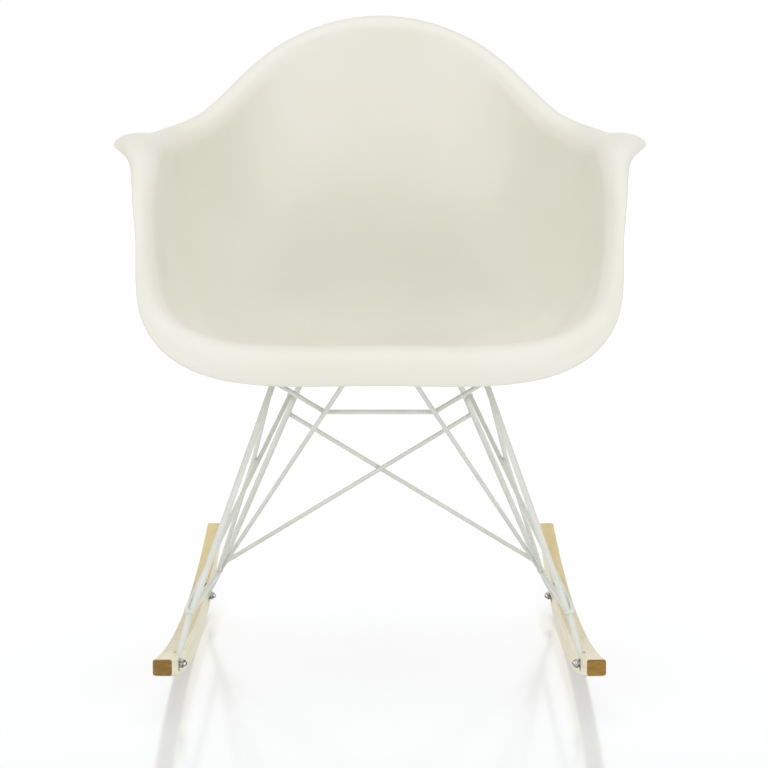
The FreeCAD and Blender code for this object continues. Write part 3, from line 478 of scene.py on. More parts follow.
# the stations where the line leaves the front for the side, and the side for the top
SIDE_START, SIDE_END = 3, 8
WALL = 5.0


def ease(t):
    """Rises smoothly from 0 to 1 while t does."""
    t = min(max(t, 0.0), 1.0)
    return t * t * (3.0 - 2.0 * t)


def unit(vector):
    """The same way, with a length of one."""
    return vector / np.linalg.norm(vector)


class Flow:
    """A smooth curve through a few stations. With level ends it starts and ends straight across
    the chair, as a line does that runs on over the middle."""

    def __init__(self, stations, level_ends=False):
        self.stations = np.array(stations, float)
        steps = np.linalg.norm(np.diff(self.stations[:, :3], axis=0), axis=1)
        knots = np.concatenate([[0.0], np.cumsum(np.sqrt(steps))])
        self.knots = knots / knots[-1]
        gaps = np.diff(self.knots)
        chords = np.diff(self.stations, axis=0) / gaps[:, None]
        slopes = np.empty_like(self.stations)
        slopes[0], slopes[-1] = chords[0], chords[-1]
        share = (gaps[1:] / (gaps[:-1] + gaps[1:]))[:, None]
        slopes[1:-1] = chords[:-1] * share + chords[1:] * (1.0 - share)
        if level_ends:
            for i, way in ((0, 1.0), (-1, -1.0)):
                speed = np.linalg.norm(slopes[i][:3])
                slopes[i] = 0.0
                slopes[i][0] = way * speed
        self.slopes = slopes

    def at(self, t):
        """The numbers of a station at t, which goes from 0 at the first to 1 at the last."""
        t = min(max(t, 0.0), 1.0)
        i = min(int(np.searchsorted(self.knots, t, side="left")) - 1, len(self.knots) - 2)
        i = max(i, 0)
        gap = self.knots[i + 1] - self.knots[i]
        q = (t - self.knots[i]) / gap
        return (self.stations[i] * (1.0 + 2.0 * q) * (1.0 - q) ** 2
                + self.slopes[i] * q * (1.0 - q) ** 2 * gap
                + self.stations[i + 1] * q * q * (3.0 - 2.0 * q)
                + self.slopes[i + 1] * q * q * (q - 1.0) * gap)


middle_line = Flow(SEAT_MIDDLE)
edge_line = Flow(SEAT_EDGE, level_ends=True)
side_from, side_to = edge_line.knots[SIDE_START], edge_line.knots[SIDE_END]
print("edge line splits at", round(side_from, 3), round(side_to, 3))

# %% The inner skin
BOXY, ROUND = 4.0, 2.1
WHOLE_CORNER, PART_CORNER = 90.0, 55.0


def seat_section(u, v):
    """A U between the centre line and the side, boxy at the front (v = 0) and round at the top.
    Low down it goes through a whole corner, and near the top through a part of one."""
    middle = middle_line.at(v)
    side = edge_line.at(side_from + (side_to - side_from) * v)[:3]
    power = BOXY + (ROUND - BOXY) * ease(v / 0.95)
    reach = radians(WHOLE_CORNER + (PART_CORNER - WHOLE_CORNER) * ease((v - 0.45) / 0.55))

    def corner(angle):
        s, c = sin(angle), max(cos(angle), 0.0)
        k = (s ** power + c ** power) ** (-1.0 / power)
        return s * k, 1.0 - c * k

    across, up = corner(reach * u)
    across_end, up_end = corner(reach)
    rise = np.array([0.0, side[1] - middle[1], side[2] - middle[2]]) * up / up_end
    return np.array([side[0] * across / across_end, middle[1] + rise[1], middle[2] + rise[2]])


def seat_skin(u, v):
    """The sections, eased at both ends onto the line where the rolled edge starts."""
    front = edge_line.at(side_from * u)[:3] - seat_section(u, 0.0)
    top = edge_line.at(1.0 - (1.0 - side_to) * u)[:3] - seat_section(u, 1.0)
    return seat_section(u, v) + front * (1.0 - v) ** 2 + top * v ** 2


def outward(u, v, step=0.01, inset=0.03):
    """The way through the wall, away from the sitter."""
    u = min(u, 1.0 - inset)
    v = min(max(v, inset), 1.0 - inset)
    before = seat_skin(abs(u - step), v)
    if u < step:
        before[0] = -before[0]
    across = seat_skin(u + step, v) - before
    along = seat_skin(u, v + step) - seat_skin(u, v - step)
    return unit(np.cross(along, across))


def edge_frame(t):
    """Place, forward way and outward way of the roll, at t along the edge line."""
    if t < side_from:
        u, v = t / side_from, 0.0
    elif t <= side_to:
        u, v = 1.0, (t - side_from) / (side_to - side_from)
    else:
        u, v = (1.0 - t) / (1.0 - side_to), 1.0
    place = edge_line.at(t)
    if 1e-6 < t < 1.0 - 1e-6:
        along = unit(edge_line.at(t + 0.002)[:3] - edge_line.at(t - 0.002)[:3])
    else:
        along = np.array([1.0, 0.0, 0.0])
    out = outward(u, v)
    out = unit(out - along * out.dot(along))
    onward = np.cross(out, along)
    if onward.dot(place[:3] - seat_skin(0.9 * u, 0.05 + 0.9 * v)) < 0.0:
        onward = -onward
    return place, onward, out


def rolled(t, turn, steps=24):
    """A point of the rolled edge, turn 0 where it starts and 1 at its free edge. The roll turns
    evenly where its haste is 1. Above 1 it bends early, and its free end hangs straighter. Over
    the last fifth it bends on by its dip."""
    place, onward, out = edge_frame(t)
    radius, angle, haste, dip = place[3], radians(place[4]), place[5], radians(place[6])
    step = radius * angle * turn / steps
    point = place[:3].copy()
    for i in range(steps):
        way = turn * (i + 0.5) / steps
        bent = angle * (1.0 - (1.0 - way) ** haste) + dip * ease((way - 0.8) / 0.2)
        point += (onward * cos(bent) + out * sin(bent)) * step
    return point


# %% Grid, rolled edge, wall and rounded rim
GRID_ACROSS, GRID_ALONG = 72, 52
ROLL_STEPS = 12
RIM_ROUNDING = 2.1


def make_seat():
    bpy.ops.object.select_all(action="DESELECT")
    bpy.ops.mesh.primitive_grid_add(x_subdivisions=GRID_ACROSS, y_subdivisions=GRID_ALONG, size=2)
    seat = named("seat_shell_moulding")
    place_on_edge = seat.data.attributes.new("edge_place", "FLOAT", "POINT")
    for point in seat.data.vertices:
        u, v = abs(point.co.x), (point.co.y + 1.0) / 2.0
        side = 1.0 if point.co.x >= 0.0 else -1.0
        if v < 1e-5:
            t = side_from * u
        elif v > 1.0 - 1e-5:
            t = 1.0 - (1.0 - side_to) * u
        else:
            t = side_from + (side_to - side_from) * v
        place_on_edge.data[point.index].value = side * max(t, 1e-9)
        x, y, z = seat_skin(u, v)
        point.co = (side * x * MM, y * MM, z * MM)
    start_edit(seat)
    bpy.ops.mesh.select_non_manifold()
    for step in range(1, ROLL_STEPS + 1):
        bpy.ops.mesh.extrude_region_move()
        mesh = bmesh.from_edit_mesh(seat.data)
        layer = mesh.verts.layers.float["edge_place"]
        for point in mesh.verts:
            if point.select:
                t = point[layer]
                x, y, z = rolled(abs(t), step / ROLL_STEPS)
                point.co = (x * MM if t > 0.0 else -x * MM, y * MM, z * MM)
        bmesh.update_edit_mesh(seat.data)
    end_edit()
    seat.data.attributes.remove(seat.data.attributes["edge_place"])
    finish_with(seat, "SOLIDIFY", thickness=WALL * MM, offset=-1.0, use_even_offset=True,
                use_quality_normals=True)
    rounded(seat, RIM_ROUNDING, 3, 60.0)
    finish_with(seat, "SUBSURF", levels=1, render_levels=1)
    return tidy_mesh(seat, 60.0)


seat = settle(make_seat(), "shell_plastic", "seat_shell")
print("seat faces", len(seat.data.polygons))

# %% [markdown]
# ## Bosses under the seat
#
# Four thick bosses are moulded under the seat. They take the screws that hold the base. A
# cylinder is the start, and its top runs into the wall of the seat. Its lower face is inset and
# pushed in, which leaves the bore for the metal insert.

# %% Bosses
FRONT_SCREW, REAR_SCREW = (101.0, -199.0, 351.0), (79.0, -18.0, 322.0)
PLATE_THICK, SPACER_THICK = 3.0, 4.0
BOSS_RADIUS, BOSS_TALL = 19.0, 16.0
BORE_RADIUS, BORE_DEEP = 5.6, 9.6


def make_boss(name, x, y, foot):
    """A boss that stands on the height foot, with its bore."""
    bpy.ops.object.select_all(action="DESELECT")
    bpy.ops.mesh.primitive_cylinder_add(
        vertices=48, radius=BOSS_RADIUS * MM, depth=BOSS_TALL * MM,
        location=(x * MM, y * MM, (foot + BOSS_TALL / 2.0) * MM))
    boss = named(name)
    start_edit(boss, "FACE")
    pick(boss, "faces", lambda face: face.calc_center_median().z < (foot + 0.1) * MM)
    bpy.ops.mesh.inset(thickness=(BOSS_RADIUS - BORE_RADIUS) * MM)
    bpy.ops.mesh.extrude_region_move(TRANSFORM_OT_translate={"value": (0, 0, BORE_DEEP * MM)})
    end_edit()
    rounded(boss, 0.8, 2, 50.0)
    settle(tidy_mesh(boss), "shell_plastic")


for end, (x, y, z) in (("front", FRONT_SCREW), ("rear", REAR_SCREW)):
    for side, way in SIDES.items():
        make_boss("seat_boss_%s_%s" % (end, side), way * x, y, z + PLATE_THICK + SPACER_THICK)
print("bosses made")

# %% [markdown]
# ## The rod base
#
# A bending bench turns a straight rod by a set radius between straight runs. The same is done
# here: a ring of edges is extruded along each run and spun around each bend, and the two open
# ends are closed. A rod that has a twin is drawn on the right, and the twin is its mirror image.

# %% Bending bench


def bend_rod(name, corners, radius, bend=0.0, sides=24):
    """A round rod along straight runs with a bend at each corner between them."""
    corners = [Vector(corner) * MM for corner in corners]
    radius *= MM
    bend *= MM
    way = (corners[1] - corners[0]).normalized()
    bpy.ops.object.select_all(action="DESELECT")
    bpy.ops.mesh.primitive_circle_add(
        vertices=sides, radius=radius, fill_type="NOTHING", location=corners[0],
        rotation=way.to_track_quat("Z", "Y").to_euler())
    rod = named(name)
    start_edit(rod)
    bpy.ops.mesh.select_all(action="SELECT")
    here = corners[0]
    for corner, following in zip(corners[1:], corners[2:]):
        leaving = (following - corner).normalized()
        turn = way.angle(leaving)
        setback = bend * tan(turn / 2.0)
        first = corner - way * setback
        bpy.ops.mesh.extrude_region_move(TRANSFORM_OT_translate={"value": first - here})
        axis = way.cross(leaving).normalized()
        centre = first + axis.cross(way) * bend
        steps = max(4, int(degrees(turn) / 6.0))
        bpy.ops.mesh.spin(steps=steps, angle=-turn, center=centre, axis=axis)
        here = corner + leaving * setback
        way = leaving
    bpy.ops.mesh.extrude_region_move(TRANSFORM_OT_translate={"value": corners[-1] - here})
    bpy.ops.mesh.edge_face_add()
    # the first ring of points is at the other end, still open
    mesh = bmesh.from_edit_mesh(rod.data)
    mesh.verts.ensure_lookup_table()
    for point in mesh.verts:
        point.select = False
    mesh.select_flush(False)
    for point in mesh.verts[:sides]:
        point.select = True
    mesh.select_flush(True)
    bpy.ops.mesh.edge_face_add()
    end_edit()
    rounded(rod, 0.5, 2, 60.0)
    return tidy_mesh(rod)


# %% Places of the base, right side
HEAVY, LIGHT = 3.6, 2.75
FRONT_NODE, REAR_NODE = Vector((208.5, -290, 94)), Vector((204, 115, 61))
LEG_FOOT = Vector((207.4, -288.5, 93))
FRONT_TOP, REAR_TOP = Vector((115, -199, 351)), Vector((93, -18, 322))
# "sole" and "back" are the radii of the lower and the upper face, "mid" is the height of the bow
# where it touches the floor, "contact" the depth of that place, and "inner" its inner face
ROCKER = {"length": 810.0, "thick": 20.5, "mid": 37.0, "sole": 1500.0, "back": 2400.0,
          "contact": -15.0, "inner": 218.5}
# rods that cross, and a foot in its pocket, lie this far apart
ROD_GAP = 0.3
PAD_HALF_WIDTH, PAD_HALF_THICK = 8.0, 2.6
POCKET_RADIUS, POCKET_DEPTH = 9.5, 6.0


def arc_rise(reach, radius):
    """How far an arc has risen at a distance from its lowest point."""
    return radius - sqrt(radius ** 2 - reach ** 2)


def rocker_middle(depth):
    """Half height of the rocker at a depth."""
    reach = depth - ROCKER["contact"]
    return (arc_rise(reach, ROCKER["sole"]) + ROCKER["mid"]
            + arc_rise(reach, ROCKER["back"])) / 2.0


def at_height(low, high, height):
    """The point of a straight line at a height."""
    return low + (high - low) * ((height - low.z) / (high.z - low.z))


def bolt_at(depth):
    """The middle of a foot, where its bolt goes through, just above the rocker's half height."""
    return Vector((PAD_X, depth, rocker_middle(depth) + 1.0))


PAD_X = ROCKER["inner"] + POCKET_DEPTH - ROD_GAP - PAD_HALF_THICK
FRONT_BOLT, REAR_BOLT = bolt_at(-315.0), bolt_at(140.0)
print("bolts at heights", round(FRONT_BOLT.z, 1), round(REAR_BOLT.z, 1))

# %% Rails and legs
# the round rod ends this far above the bolt, where the pressed foot begins
NECK = 20.0
front_neck = FRONT_BOLT + (FRONT_NODE - FRONT_BOLT).normalized() * NECK
rear_neck = REAR_BOLT + (REAR_NODE - REAR_BOLT).normalized() * NECK
RAIL_BEND = 16.0
rail_corners = [front_neck, FRONT_NODE, REAR_NODE, rear_neck]
settle_pair(bend_rod("rail_right_rod", rail_corners, HEAVY, RAIL_BEND), "rod_paint", "rail")
front_leg = bend_rod("front_leg_right_rod", [LEG_FOOT, FRONT_TOP], HEAVY)
settle_pair(front_leg, "rod_paint", "front_leg")
rear_leg = bend_rod("rear_leg_right_rod", [REAR_NODE, REAR_TOP], HEAVY)
settle_pair(rear_leg, "rod_paint", "rear_leg")
print("rails and legs made")

# %% [markdown]
# The fore brace ends in a small hook at the foot of the front leg. The aft brace comes from the top
# of the same leg and has a kink where it leans on the fore brace. So the place of the kink is
# worked out from the fore brace: where the two cross in a view from the side.

# %% Fore brace with its hook, and the aft brace that leans on it
HOOK, HOOK_HEIGHT = 3.1, 97.0
AFT_TOP_HEIGHT, AFT_FOOT_SHARE = 330.0, 19.0 / 405.0
hook_start = at_height(LEG_FOOT, FRONT_TOP, HOOK_HEIGHT)
fore_top = Vector((107.5, -8, 303))
fore_low = hook_start.copy()
# the brace starts beside the end of the hook, square to its own way, so place and way are found
# by turns
for _ in range(4):
    fore_way = (fore_top - fore_low).normalized()
    beside = Vector((1, 0, 0))
    beside = (beside - fore_way * beside.dot(fore_way)).normalized()
    fore_low = hook_start + beside * 2.0 * HOOK
under = -fore_way * HOOK
# the bend is a hair tighter than half the width of the hook, so its two bends don't touch
fore = bend_rod("side_brace_fore_right_rod",
                [hook_start, hook_start + under, fore_low + under, fore_top], LIGHT, HOOK - 0.01)
settle_pair(fore, "rod_paint", "side_brace_fore")

aft_high = at_height(LEG_FOOT, FRONT_TOP, AFT_TOP_HEIGHT)
aft_low = REAR_NODE + (FRONT_NODE - REAR_NODE) * AFT_FOOT_SHARE
run, mine = fore_top - fore_low, aft_low - aft_high
gap = aft_high - fore_low
share = (gap.y * mine.z - gap.z * mine.y) / (run.y * mine.z - run.z * mine.y)
across = run.cross(mine).normalized()
if across.x < 0.0:
    across = -across
kink = fore_low + run * share + across * (2.0 * LIGHT + ROD_GAP)
aft = bend_rod("side_brace_aft_right_rod", [aft_high, kink, aft_low], LIGHT, 12.0 * LIGHT)
settle_pair(aft, "rod_paint", "side_brace_aft")
print("kink of the aft brace", [round(v, 1) for v in kink])

# %% [markdown]
# At the back two rods cross from leg to leg, one in front of the other. Under the lip of the seat
# a rod with a dip joins the tops of the front legs, and the hoop passes close in front of the
# corners of that dip on its way up.

# %% Cross braces
CROSS_LOW, CROSS_HIGH = 74.0, 278.0
rear_top_mid = REAR_TOP + Vector((0, 0, PLATE_THICK / 2.0))


def flipped(point):
    """The same point on the other side of the chair."""
    return Vector((-point.x, point.y, point.z))


def cross_brace_line(way):
    """The two ends of a cross brace on the line of the legs, and its shift from that line."""
    low = at_height(REAR_NODE, rear_top_mid, CROSS_LOW)
    high = flipped(at_height(REAR_NODE, rear_top_mid, CROSS_HIGH))
    shift = Vector((0, way * (LIGHT + ROD_GAP / 2.0), 0))
    if way < 0.0:
        low, high = flipped(low), flipped(high)
    return low, high, shift


for side, way in SIDES.items():
    low, high, shift = cross_brace_line(way)
    brace = bend_rod("cross_brace_%s_rod" % side, [low + shift, high + shift], LIGHT)
    settle(brace, "rod_paint", "cross_brace_" + side)

# %% Stretcher and hoop
STRETCHER_TOP_HEIGHT, HOOP_TOP_HEIGHT = 340.0, 346.0
HOOP_FOOT_SHARE = 8.0 / 405.0
stretcher_top = at_height(LEG_FOOT, FRONT_TOP, STRETCHER_TOP_HEIGHT)
dip = Vector((61.7, -205, 306))
stretcher = bend_rod("front_stretcher_rod",
                     [flipped(stretcher_top), flipped(dip), dip, stretcher_top], LIGHT, 10.0)
settle(stretcher, "rod_paint", "front_stretcher")

hoop_low = REAR_NODE + (FRONT_NODE - REAR_NODE) * HOOP_FOOT_SHARE
hoop_pass = dip - Vector((0, 2.0 * LIGHT + ROD_GAP, 0))
hoop_high = at_height(hoop_low, hoop_pass, HOOP_TOP_HEIGHT)
hoop = bend_rod("brace_hoop_rod",
                [flipped(hoop_low), flipped(hoop_high), hoop_high, hoop_low], LIGHT, 10.0)
settle(hoop, "rod_paint", "brace_hoop")
print("rods made")

# %% [markdown]
# ## Flattened feet
#
# The ends of a rail are pressed flat and bored for a bolt. Each foot is drawn as a row of rings.
# They change from the rod's circle to a wide flat oval, and close over the round end.

# %% Feet of the rails
BOLT_HOLE = 3.3
# distances of the rings above the bolt, down to the round end below it
FOOT_RINGS = (22, 20, 18, 16, 14, 12, 10, 8, 6, 4, 2, 0, -2, -4, -5.5, -6.7, -7.5, -7.9)


def foot_section(along):
    """Half width, half thickness and squareness of the foot, at a distance above the bolt. The
    rod widens between 17 and 2 mm, and thins between 20 and 10 mm."""
    pressed = ease((17.0 - along) / 15.0)
    width = HEAVY + (PAD_HALF_WIDTH - HEAVY) * pressed
    if along < 0.0:
        width = sqrt(PAD_HALF_WIDTH ** 2 - along ** 2)
    thick = HEAVY + (PAD_HALF_THICK - HEAVY) * ease((20.0 - along) / 10.0)
    return width, thick, 2.0 + 3.0 * pressed


def make_foot(name, bolt, node, sides=36):
    """The pressed end of a rail, with its bolt hole."""
    up = (node - bolt).normalized()
    back = up.cross(Vector((1, 0, 0))).normalized()
    flat = back.cross(up).normalized()
    bpy.ops.object.select_all(action="DESELECT")
    bpy.ops.mesh.primitive_circle_add(vertices=sides, radius=1.0, fill_type="NGON")
    foot = named(name)
    start_edit(foot)
    bpy.ops.mesh.select_all(action="SELECT")
    angles = [2.0 * pi * i / sides for i in range(sides)]
    for index, along in enumerate(FOOT_RINGS):
        if index:
            bpy.ops.mesh.extrude_region_move()
        mesh = bmesh.from_edit_mesh(foot.data)
        width, thick, power = foot_section(along)
        ring = [point for point in mesh.verts if point.select]
        for angle, point in zip(angles, ring):
            c, s = cos(angle), sin(angle)
            k = (abs(c) ** power + abs(s) ** power) ** (-1.0 / power)
            place = bolt + up * along + back * (width * c * k) + flat * (thick * s * k)
            point.co = place * MM
        bmesh.update_edit_mesh(foot.data)
    end_edit()
    tidy_mesh(foot)
    cut(foot, round_bar("drill", BOLT_HOLE, bolt - flat * 9.0, bolt + flat * 9.0))
    return tidy_mesh(foot)


for end, bolt, node in (("front", FRONT_BOLT, FRONT_NODE), ("rear", REAR_BOLT, REAR_NODE)):
    settle_pair(make_foot("rail_foot_%s_right" % end, bolt, node), "rod_paint")
print("feet made")

# %% [markdown]
# ## Weld beads
#
# Where a rod meets another, the welder leaves a small lumpy ring. A torus is pressed into ripples
# like a row of coins. Where two rods only cross, a little blob joins them.

# %% Welds


def weld(name, place, way, radius, bead=0.7):
    """A bead round a rod, at a place on its axis."""
    bpy.ops.object.select_all(action="DESELECT")
    bpy.ops.mesh.primitive_torus_add(
        major_segments=56, minor_segments=10, major_radius=(radius + 0.25) * MM,
        minor_radius=bead * MM)
    ring = named(name)
    for point in ring.data.vertices:
        angle = np.arctan2(point.co.y, point.co.x)
        swell = 1.0 + 0.05 * sin(9.0 * angle) + 0.025 * sin(4.0 * angle + 1.0)
        point.co.x *= swell
        point.co.y *= swell
        point.co.z *= 1.0 + 0.3 * sin(9.0 * angle + 0.6)
    settle(tidy_mesh(set_along(ring, place, way), 60.0), "rod_paint")


def tack(name, place, way, size):
    """A blob of weld between two rods that cross, with its half sizes along way last."""
    bpy.ops.object.select_all(action="DESELECT")
    bpy.ops.mesh.primitive_ico_sphere_add(subdivisions=4, radius=1.0)
    blob = named(name)
    for point in blob.data.vertices:
        x, y, z = point.co
        swell = 1.0 + 0.07 * sin(5.0 * x + 1.0) * sin(4.0 * y + 2.0) + 0.05 * sin(6.0 * z)
        point.co = Vector((x * size[0], y * size[1], z * size[2])) * swell * MM
    settle(tidy_mesh(set_along(blob, place, way), 60.0), "rod_paint")


leg_way = (FRONT_TOP - LEG_FOOT).normalized()
rear_way = (REAR_TOP - REAR_NODE).normalized()
aft_way = (kink - aft_high).normalized()
aft_rise = (kink - aft_low).normalized()
stretch_way = (dip - stretcher_top).normalized()
hoop_way = (hoop_high - hoop_low).normalized()
# each bead's place, a few millimetres from the end of its rod, then the rod's way and radius
WELDS = {
    "front_leg_foot": (LEG_FOOT + leg_way * 5.0, leg_way, HEAVY),
    "front_leg_top": (FRONT_TOP - leg_way * 1.2, leg_way, HEAVY),
    "rear_leg_foot": (REAR_NODE + rear_way * 4.6, rear_way, HEAVY),
    "rear_leg_top": (REAR_TOP - rear_way * 1.2, rear_way, HEAVY),
    "fore_brace_top": (fore_top - fore_way * 3.4, fore_way, LIGHT),
    "aft_brace_top": (aft_high + aft_way * 4.6, aft_way, LIGHT),
    "aft_brace_foot": (aft_low + aft_rise * 4.6, aft_rise, LIGHT),
    "stretcher_end": (stretcher_top + stretch_way * 4.4, stretch_way, LIGHT),
    "hoop_foot": (hoop_low + hoop_way * 4.6, hoop_way, LIGHT),
}
for side, way in SIDES.items():
    for stem, (place, along, radius) in WELDS.items():
        if way < 0.0:
            place, along = flipped(place), flipped(along)
        weld("weld_%s_%s" % (stem, side), place, along, radius)
    tacks = {
        "hook": (hook_start - fore_way * 1.0, fore_way, (2.3, 2.7, 4.2)),
        "side_crossing": (kink - across * (LIGHT + 0.1), run.normalized(), (1.5, 1.5, 4.0)),
        "stretcher_corner": (dip + Vector((0, -LIGHT - ROD_GAP / 2.0, 0.5)), hoop_way,
                             (1.5, 1.5, 3.6)),
    }
    for stem, (place, along, size) in tacks.items():
        if way < 0.0:
            place, along = flipped(place), flipped(along)
        tack("tack_%s_%s" % (stem, side), place, along, size)
    low, high, shift = cross_brace_line(way)
    along = (high - low).normalized()
    weld("weld_cross_brace_low_%s" % side, low + shift + along * 4.0, along, LIGHT)
    weld("weld_cross_brace_high_%s" % side, high + shift - along * 4.0, along, LIGHT)

low, high, shift = cross_brace_line(SIDES["right"])
crossing = low + (high - low) * (low.x / (low.x - high.x))
tack("tack_back_crossing", crossing, (0, 1, 0), (3.6, 2.2, 1.6))
print("welds made")

# %% [markdown]
# ## The rockers
#
# A rocker is one strip of maple, steamed and bent. A flat grid takes the side view of the bow and
# is extruded by the thickness of the wood, and its edges are rounded over. Cutters then take out
# the pocket of each foot, which is open at the top, the bolt hole and the sink for its head.

# %% Rockers
SINK_RADIUS, SINK_DEPTH = 7.3, 3.3
# how far the cutters stand out of the wood
OVERSHOOT = 4.0


def make_bow(name, steps=110):
    """The plain bent strip of the right side, with rounded edges."""
    bpy.ops.object.select_all(action="DESELECT")
    bpy.ops.mesh.primitive_grid_add(x_subdivisions=steps, y_subdivisions=3, size=2)
    bow = named(name)
    half = ROCKER["length"] / 2.0
    for point in bow.data.vertices:
        depth = point.co.x * half
        reach = depth - ROCKER["contact"]
        sole = arc_rise(reach, ROCKER["sole"])
        back = ROCKER["mid"] + arc_rise(reach, ROCKER["back"])
        height = sole + (back - sole) * (point.co.y + 1.0) / 2.0
        point.co = Vector((ROCKER["inner"], depth, height)) * MM
    start_edit(bow, "FACE")
    bpy.ops.mesh.select_all(action="SELECT")
    bpy.ops.mesh.extrude_region_move(
        TRANSFORM_OT_translate={"value": (ROCKER["thick"] * MM, 0, 0)})
    end_edit()
    tidy_mesh(bow)
    rounded(bow, 2.8, 5, 50.0)
    return bow


def bore_bow(bow, bolt, node):
    """Pocket, bolt hole and sink of one foot."""
    inner, outer = ROCKER["inner"], ROCKER["inner"] + ROCKER["thick"]
    lean = node - bolt
    tilt = np.arctan2(lean.y, lean.z)
    floor_x = inner + POCKET_DEPTH
    open_x = inner - OVERSHOOT

    def on_axis(x):
        return Vector((x, bolt.y, bolt.z))

    cut(bow, round_bar("pocket", POCKET_RADIUS, on_axis(open_x), on_axis(floor_x), 64))
    tall = 60.0
    way_up = Vector((0, sin(tilt), cos(tilt)))
    bpy.ops.object.select_all(action="DESELECT")
    bpy.ops.mesh.primitive_cube_add(
        size=1, location=(on_axis((open_x + floor_x) / 2.0) + way_up * tall / 2.0) * MM,
        rotation=(-tilt, 0, 0),
        scale=((floor_x - open_x) * MM, 2.0 * POCKET_RADIUS * MM, tall * MM))
    cut(bow, named("slot"))
    past_x = outer + OVERSHOOT
    cut(bow, round_bar("drill", BOLT_HOLE, on_axis(open_x), on_axis(past_x)))
    cut(bow, round_bar("sink", SINK_RADIUS, on_axis(outer - SINK_DEPTH), on_axis(past_x), 64))


bow = make_bow("rocker_right_bow")
for bolt, node in ((FRONT_BOLT, FRONT_NODE), (REAR_BOLT, REAR_NODE)):
    bore_bow(bow, bolt, node)
rounded(bow, 0.5, 2, 60.0)
tidy_mesh(bow)
settle_then_mirror(bow, "rocker_wood", "rocker")
print("rocker faces", len(bow.data.polygons))

# %% [markdown]
# ## Fasteners
#
# A screw starts as its head. The face under the head is inset and pulled out as the shank, and a
# six-sided cutter makes the socket. A domed nut is a hexagon with a ball on it.

# %% Screws, washers and nuts
# each pair is a radius and a length
BOLT_HEAD, BOLT_SHANK, BOLT_SOCKET = (7.0, 3.0), (3.0, 21.8), (2.9, 1.7)
WASHER_RADIUS, WASHER_THICK = 7.0, 1.2
NUT, DOME_RADIUS, DOME_HEIGHT = (5.3, 4.2), 3.9, 4.4
COLLAR_RADIUS, COLLAR_LOW, COLLAR_HIGH = 4.4, 3.8, 4.7


def make_screw(name, head, shank, socket):
    """A screw along +Z, with the underside of its head at the origin. Each pair is a radius and
    a length."""
    screw = round_bar(name, head[0], (0, 0, -head[1]), (0, 0, 0), 64)
    start_edit(screw, "FACE")
    pick(screw, "faces", lambda face: face.calc_center_median().z > -0.1 * MM)
    bpy.ops.mesh.inset(thickness=(head[0] - shank[0]) * MM)
    bpy.ops.mesh.extrude_region_move(TRANSFORM_OT_translate={"value": (0, 0, shank[1] * MM)})
    end_edit()
    cut(screw, round_bar("key", socket[0], (0, 0, -head[1] - 2.0), (0, 0, socket[1] - head[1]), 6))
    rounded(screw, 0.45, 3, 50.0)
    return tidy_mesh(screw)


def make_ring(name, outer, inner, low, high, edge=0.25):
    """A flat ring along Z, with its edges eased."""
    ring = round_bar(name, outer, (0, 0, low), (0, 0, high), 64)
    cut(ring, round_bar("drill", inner, (0, 0, low - 2.0), (0, 0, high + 2.0)))
    rounded(ring, edge, 3, 50.0)
    return tidy_mesh(ring)


def make_cap_nut(name):
    """A domed nut along +Z, standing on the origin."""
    nut = round_bar(name, NUT[0], (0, 0, 0), (0, 0, NUT[1]), 6)
    rounded(nut, 0.5, 3, 40.0)
    bpy.ops.object.select_all(action="DESELECT")
    bpy.ops.mesh.primitive_uv_sphere_add(segments=40, ring_count=24, radius=DOME_RADIUS * MM,
                                         location=(0, 0, DOME_HEIGHT * MM))
    dome = named("dome")
    collar = round_bar("collar", COLLAR_RADIUS, (0, 0, COLLAR_LOW), (0, 0, COLLAR_HIGH), 48)
    only(nut)
    dome.select_set(True)
    collar.select_set(True)
    bpy.ops.object.join()
    return tidy_mesh(nut)


# %% Bolts of the rockers
inward_turn = Matrix.Rotation(radians(-90.0), 4, "Y")
outer_face = ROCKER["inner"] + ROCKER["thick"]
pad_face = PAD_X - PAD_HALF_THICK


def on_bolt(piece, bolt, x):
    """Turns a fastener so that it points inward, and sets it on the line of a bolt."""
    place = Matrix.Translation(Vector((x, bolt.y, bolt.z)) * MM)
    moved(piece, place @ inward_turn)


for end, bolt in (("front", FRONT_BOLT), ("rear", REAR_BOLT)):
    screw = make_screw("rocker_bolt_%s_right_screw" % end, BOLT_HEAD, BOLT_SHANK, BOLT_SOCKET)
    washer = make_ring("rocker_washer_%s_right_ring" % end, WASHER_RADIUS, BOLT_HOLE, 0.0,
                       WASHER_THICK)
    nut = make_cap_nut("cap_nut_%s_right_dome" % end)
    for stem, piece, x in (("rocker_bolt", screw, outer_face - BOLT_HEAD[1]),
                           ("rocker_washer", washer, pad_face),
                           ("cap_nut", nut, pad_face - WASHER_THICK)):
        on_bolt(piece, bolt, x)
        settle_then_mirror(piece, "bolt_chrome", "%s_%s" % (stem, end))
print("rocker fasteners made")

# %% [markdown]
# ## Seat fixing
#
# On top of each leg sits a small steel plate. A rubber disc lies between it and the boss, and a
# screw goes up through both into a brass insert.

# %% Plates, rubber discs, inserts and screws
PLATE_HALF_LONG, PLATE_HALF_WIDE, PLATE_CORNER = 22.0, 14.0, 9.8
DISC_RADIUS, SCREW_HOLE = 16.0, 4.2
INSERT_RADIUS, INSERT_BORE, INSERT_TALL = 5.5, 4.0, 9.5
SCREW_HEAD, SCREW_SHANK, SCREW_SOCKET = (7.0, 4.0), (3.9, 15.0), (2.9, 2.4)


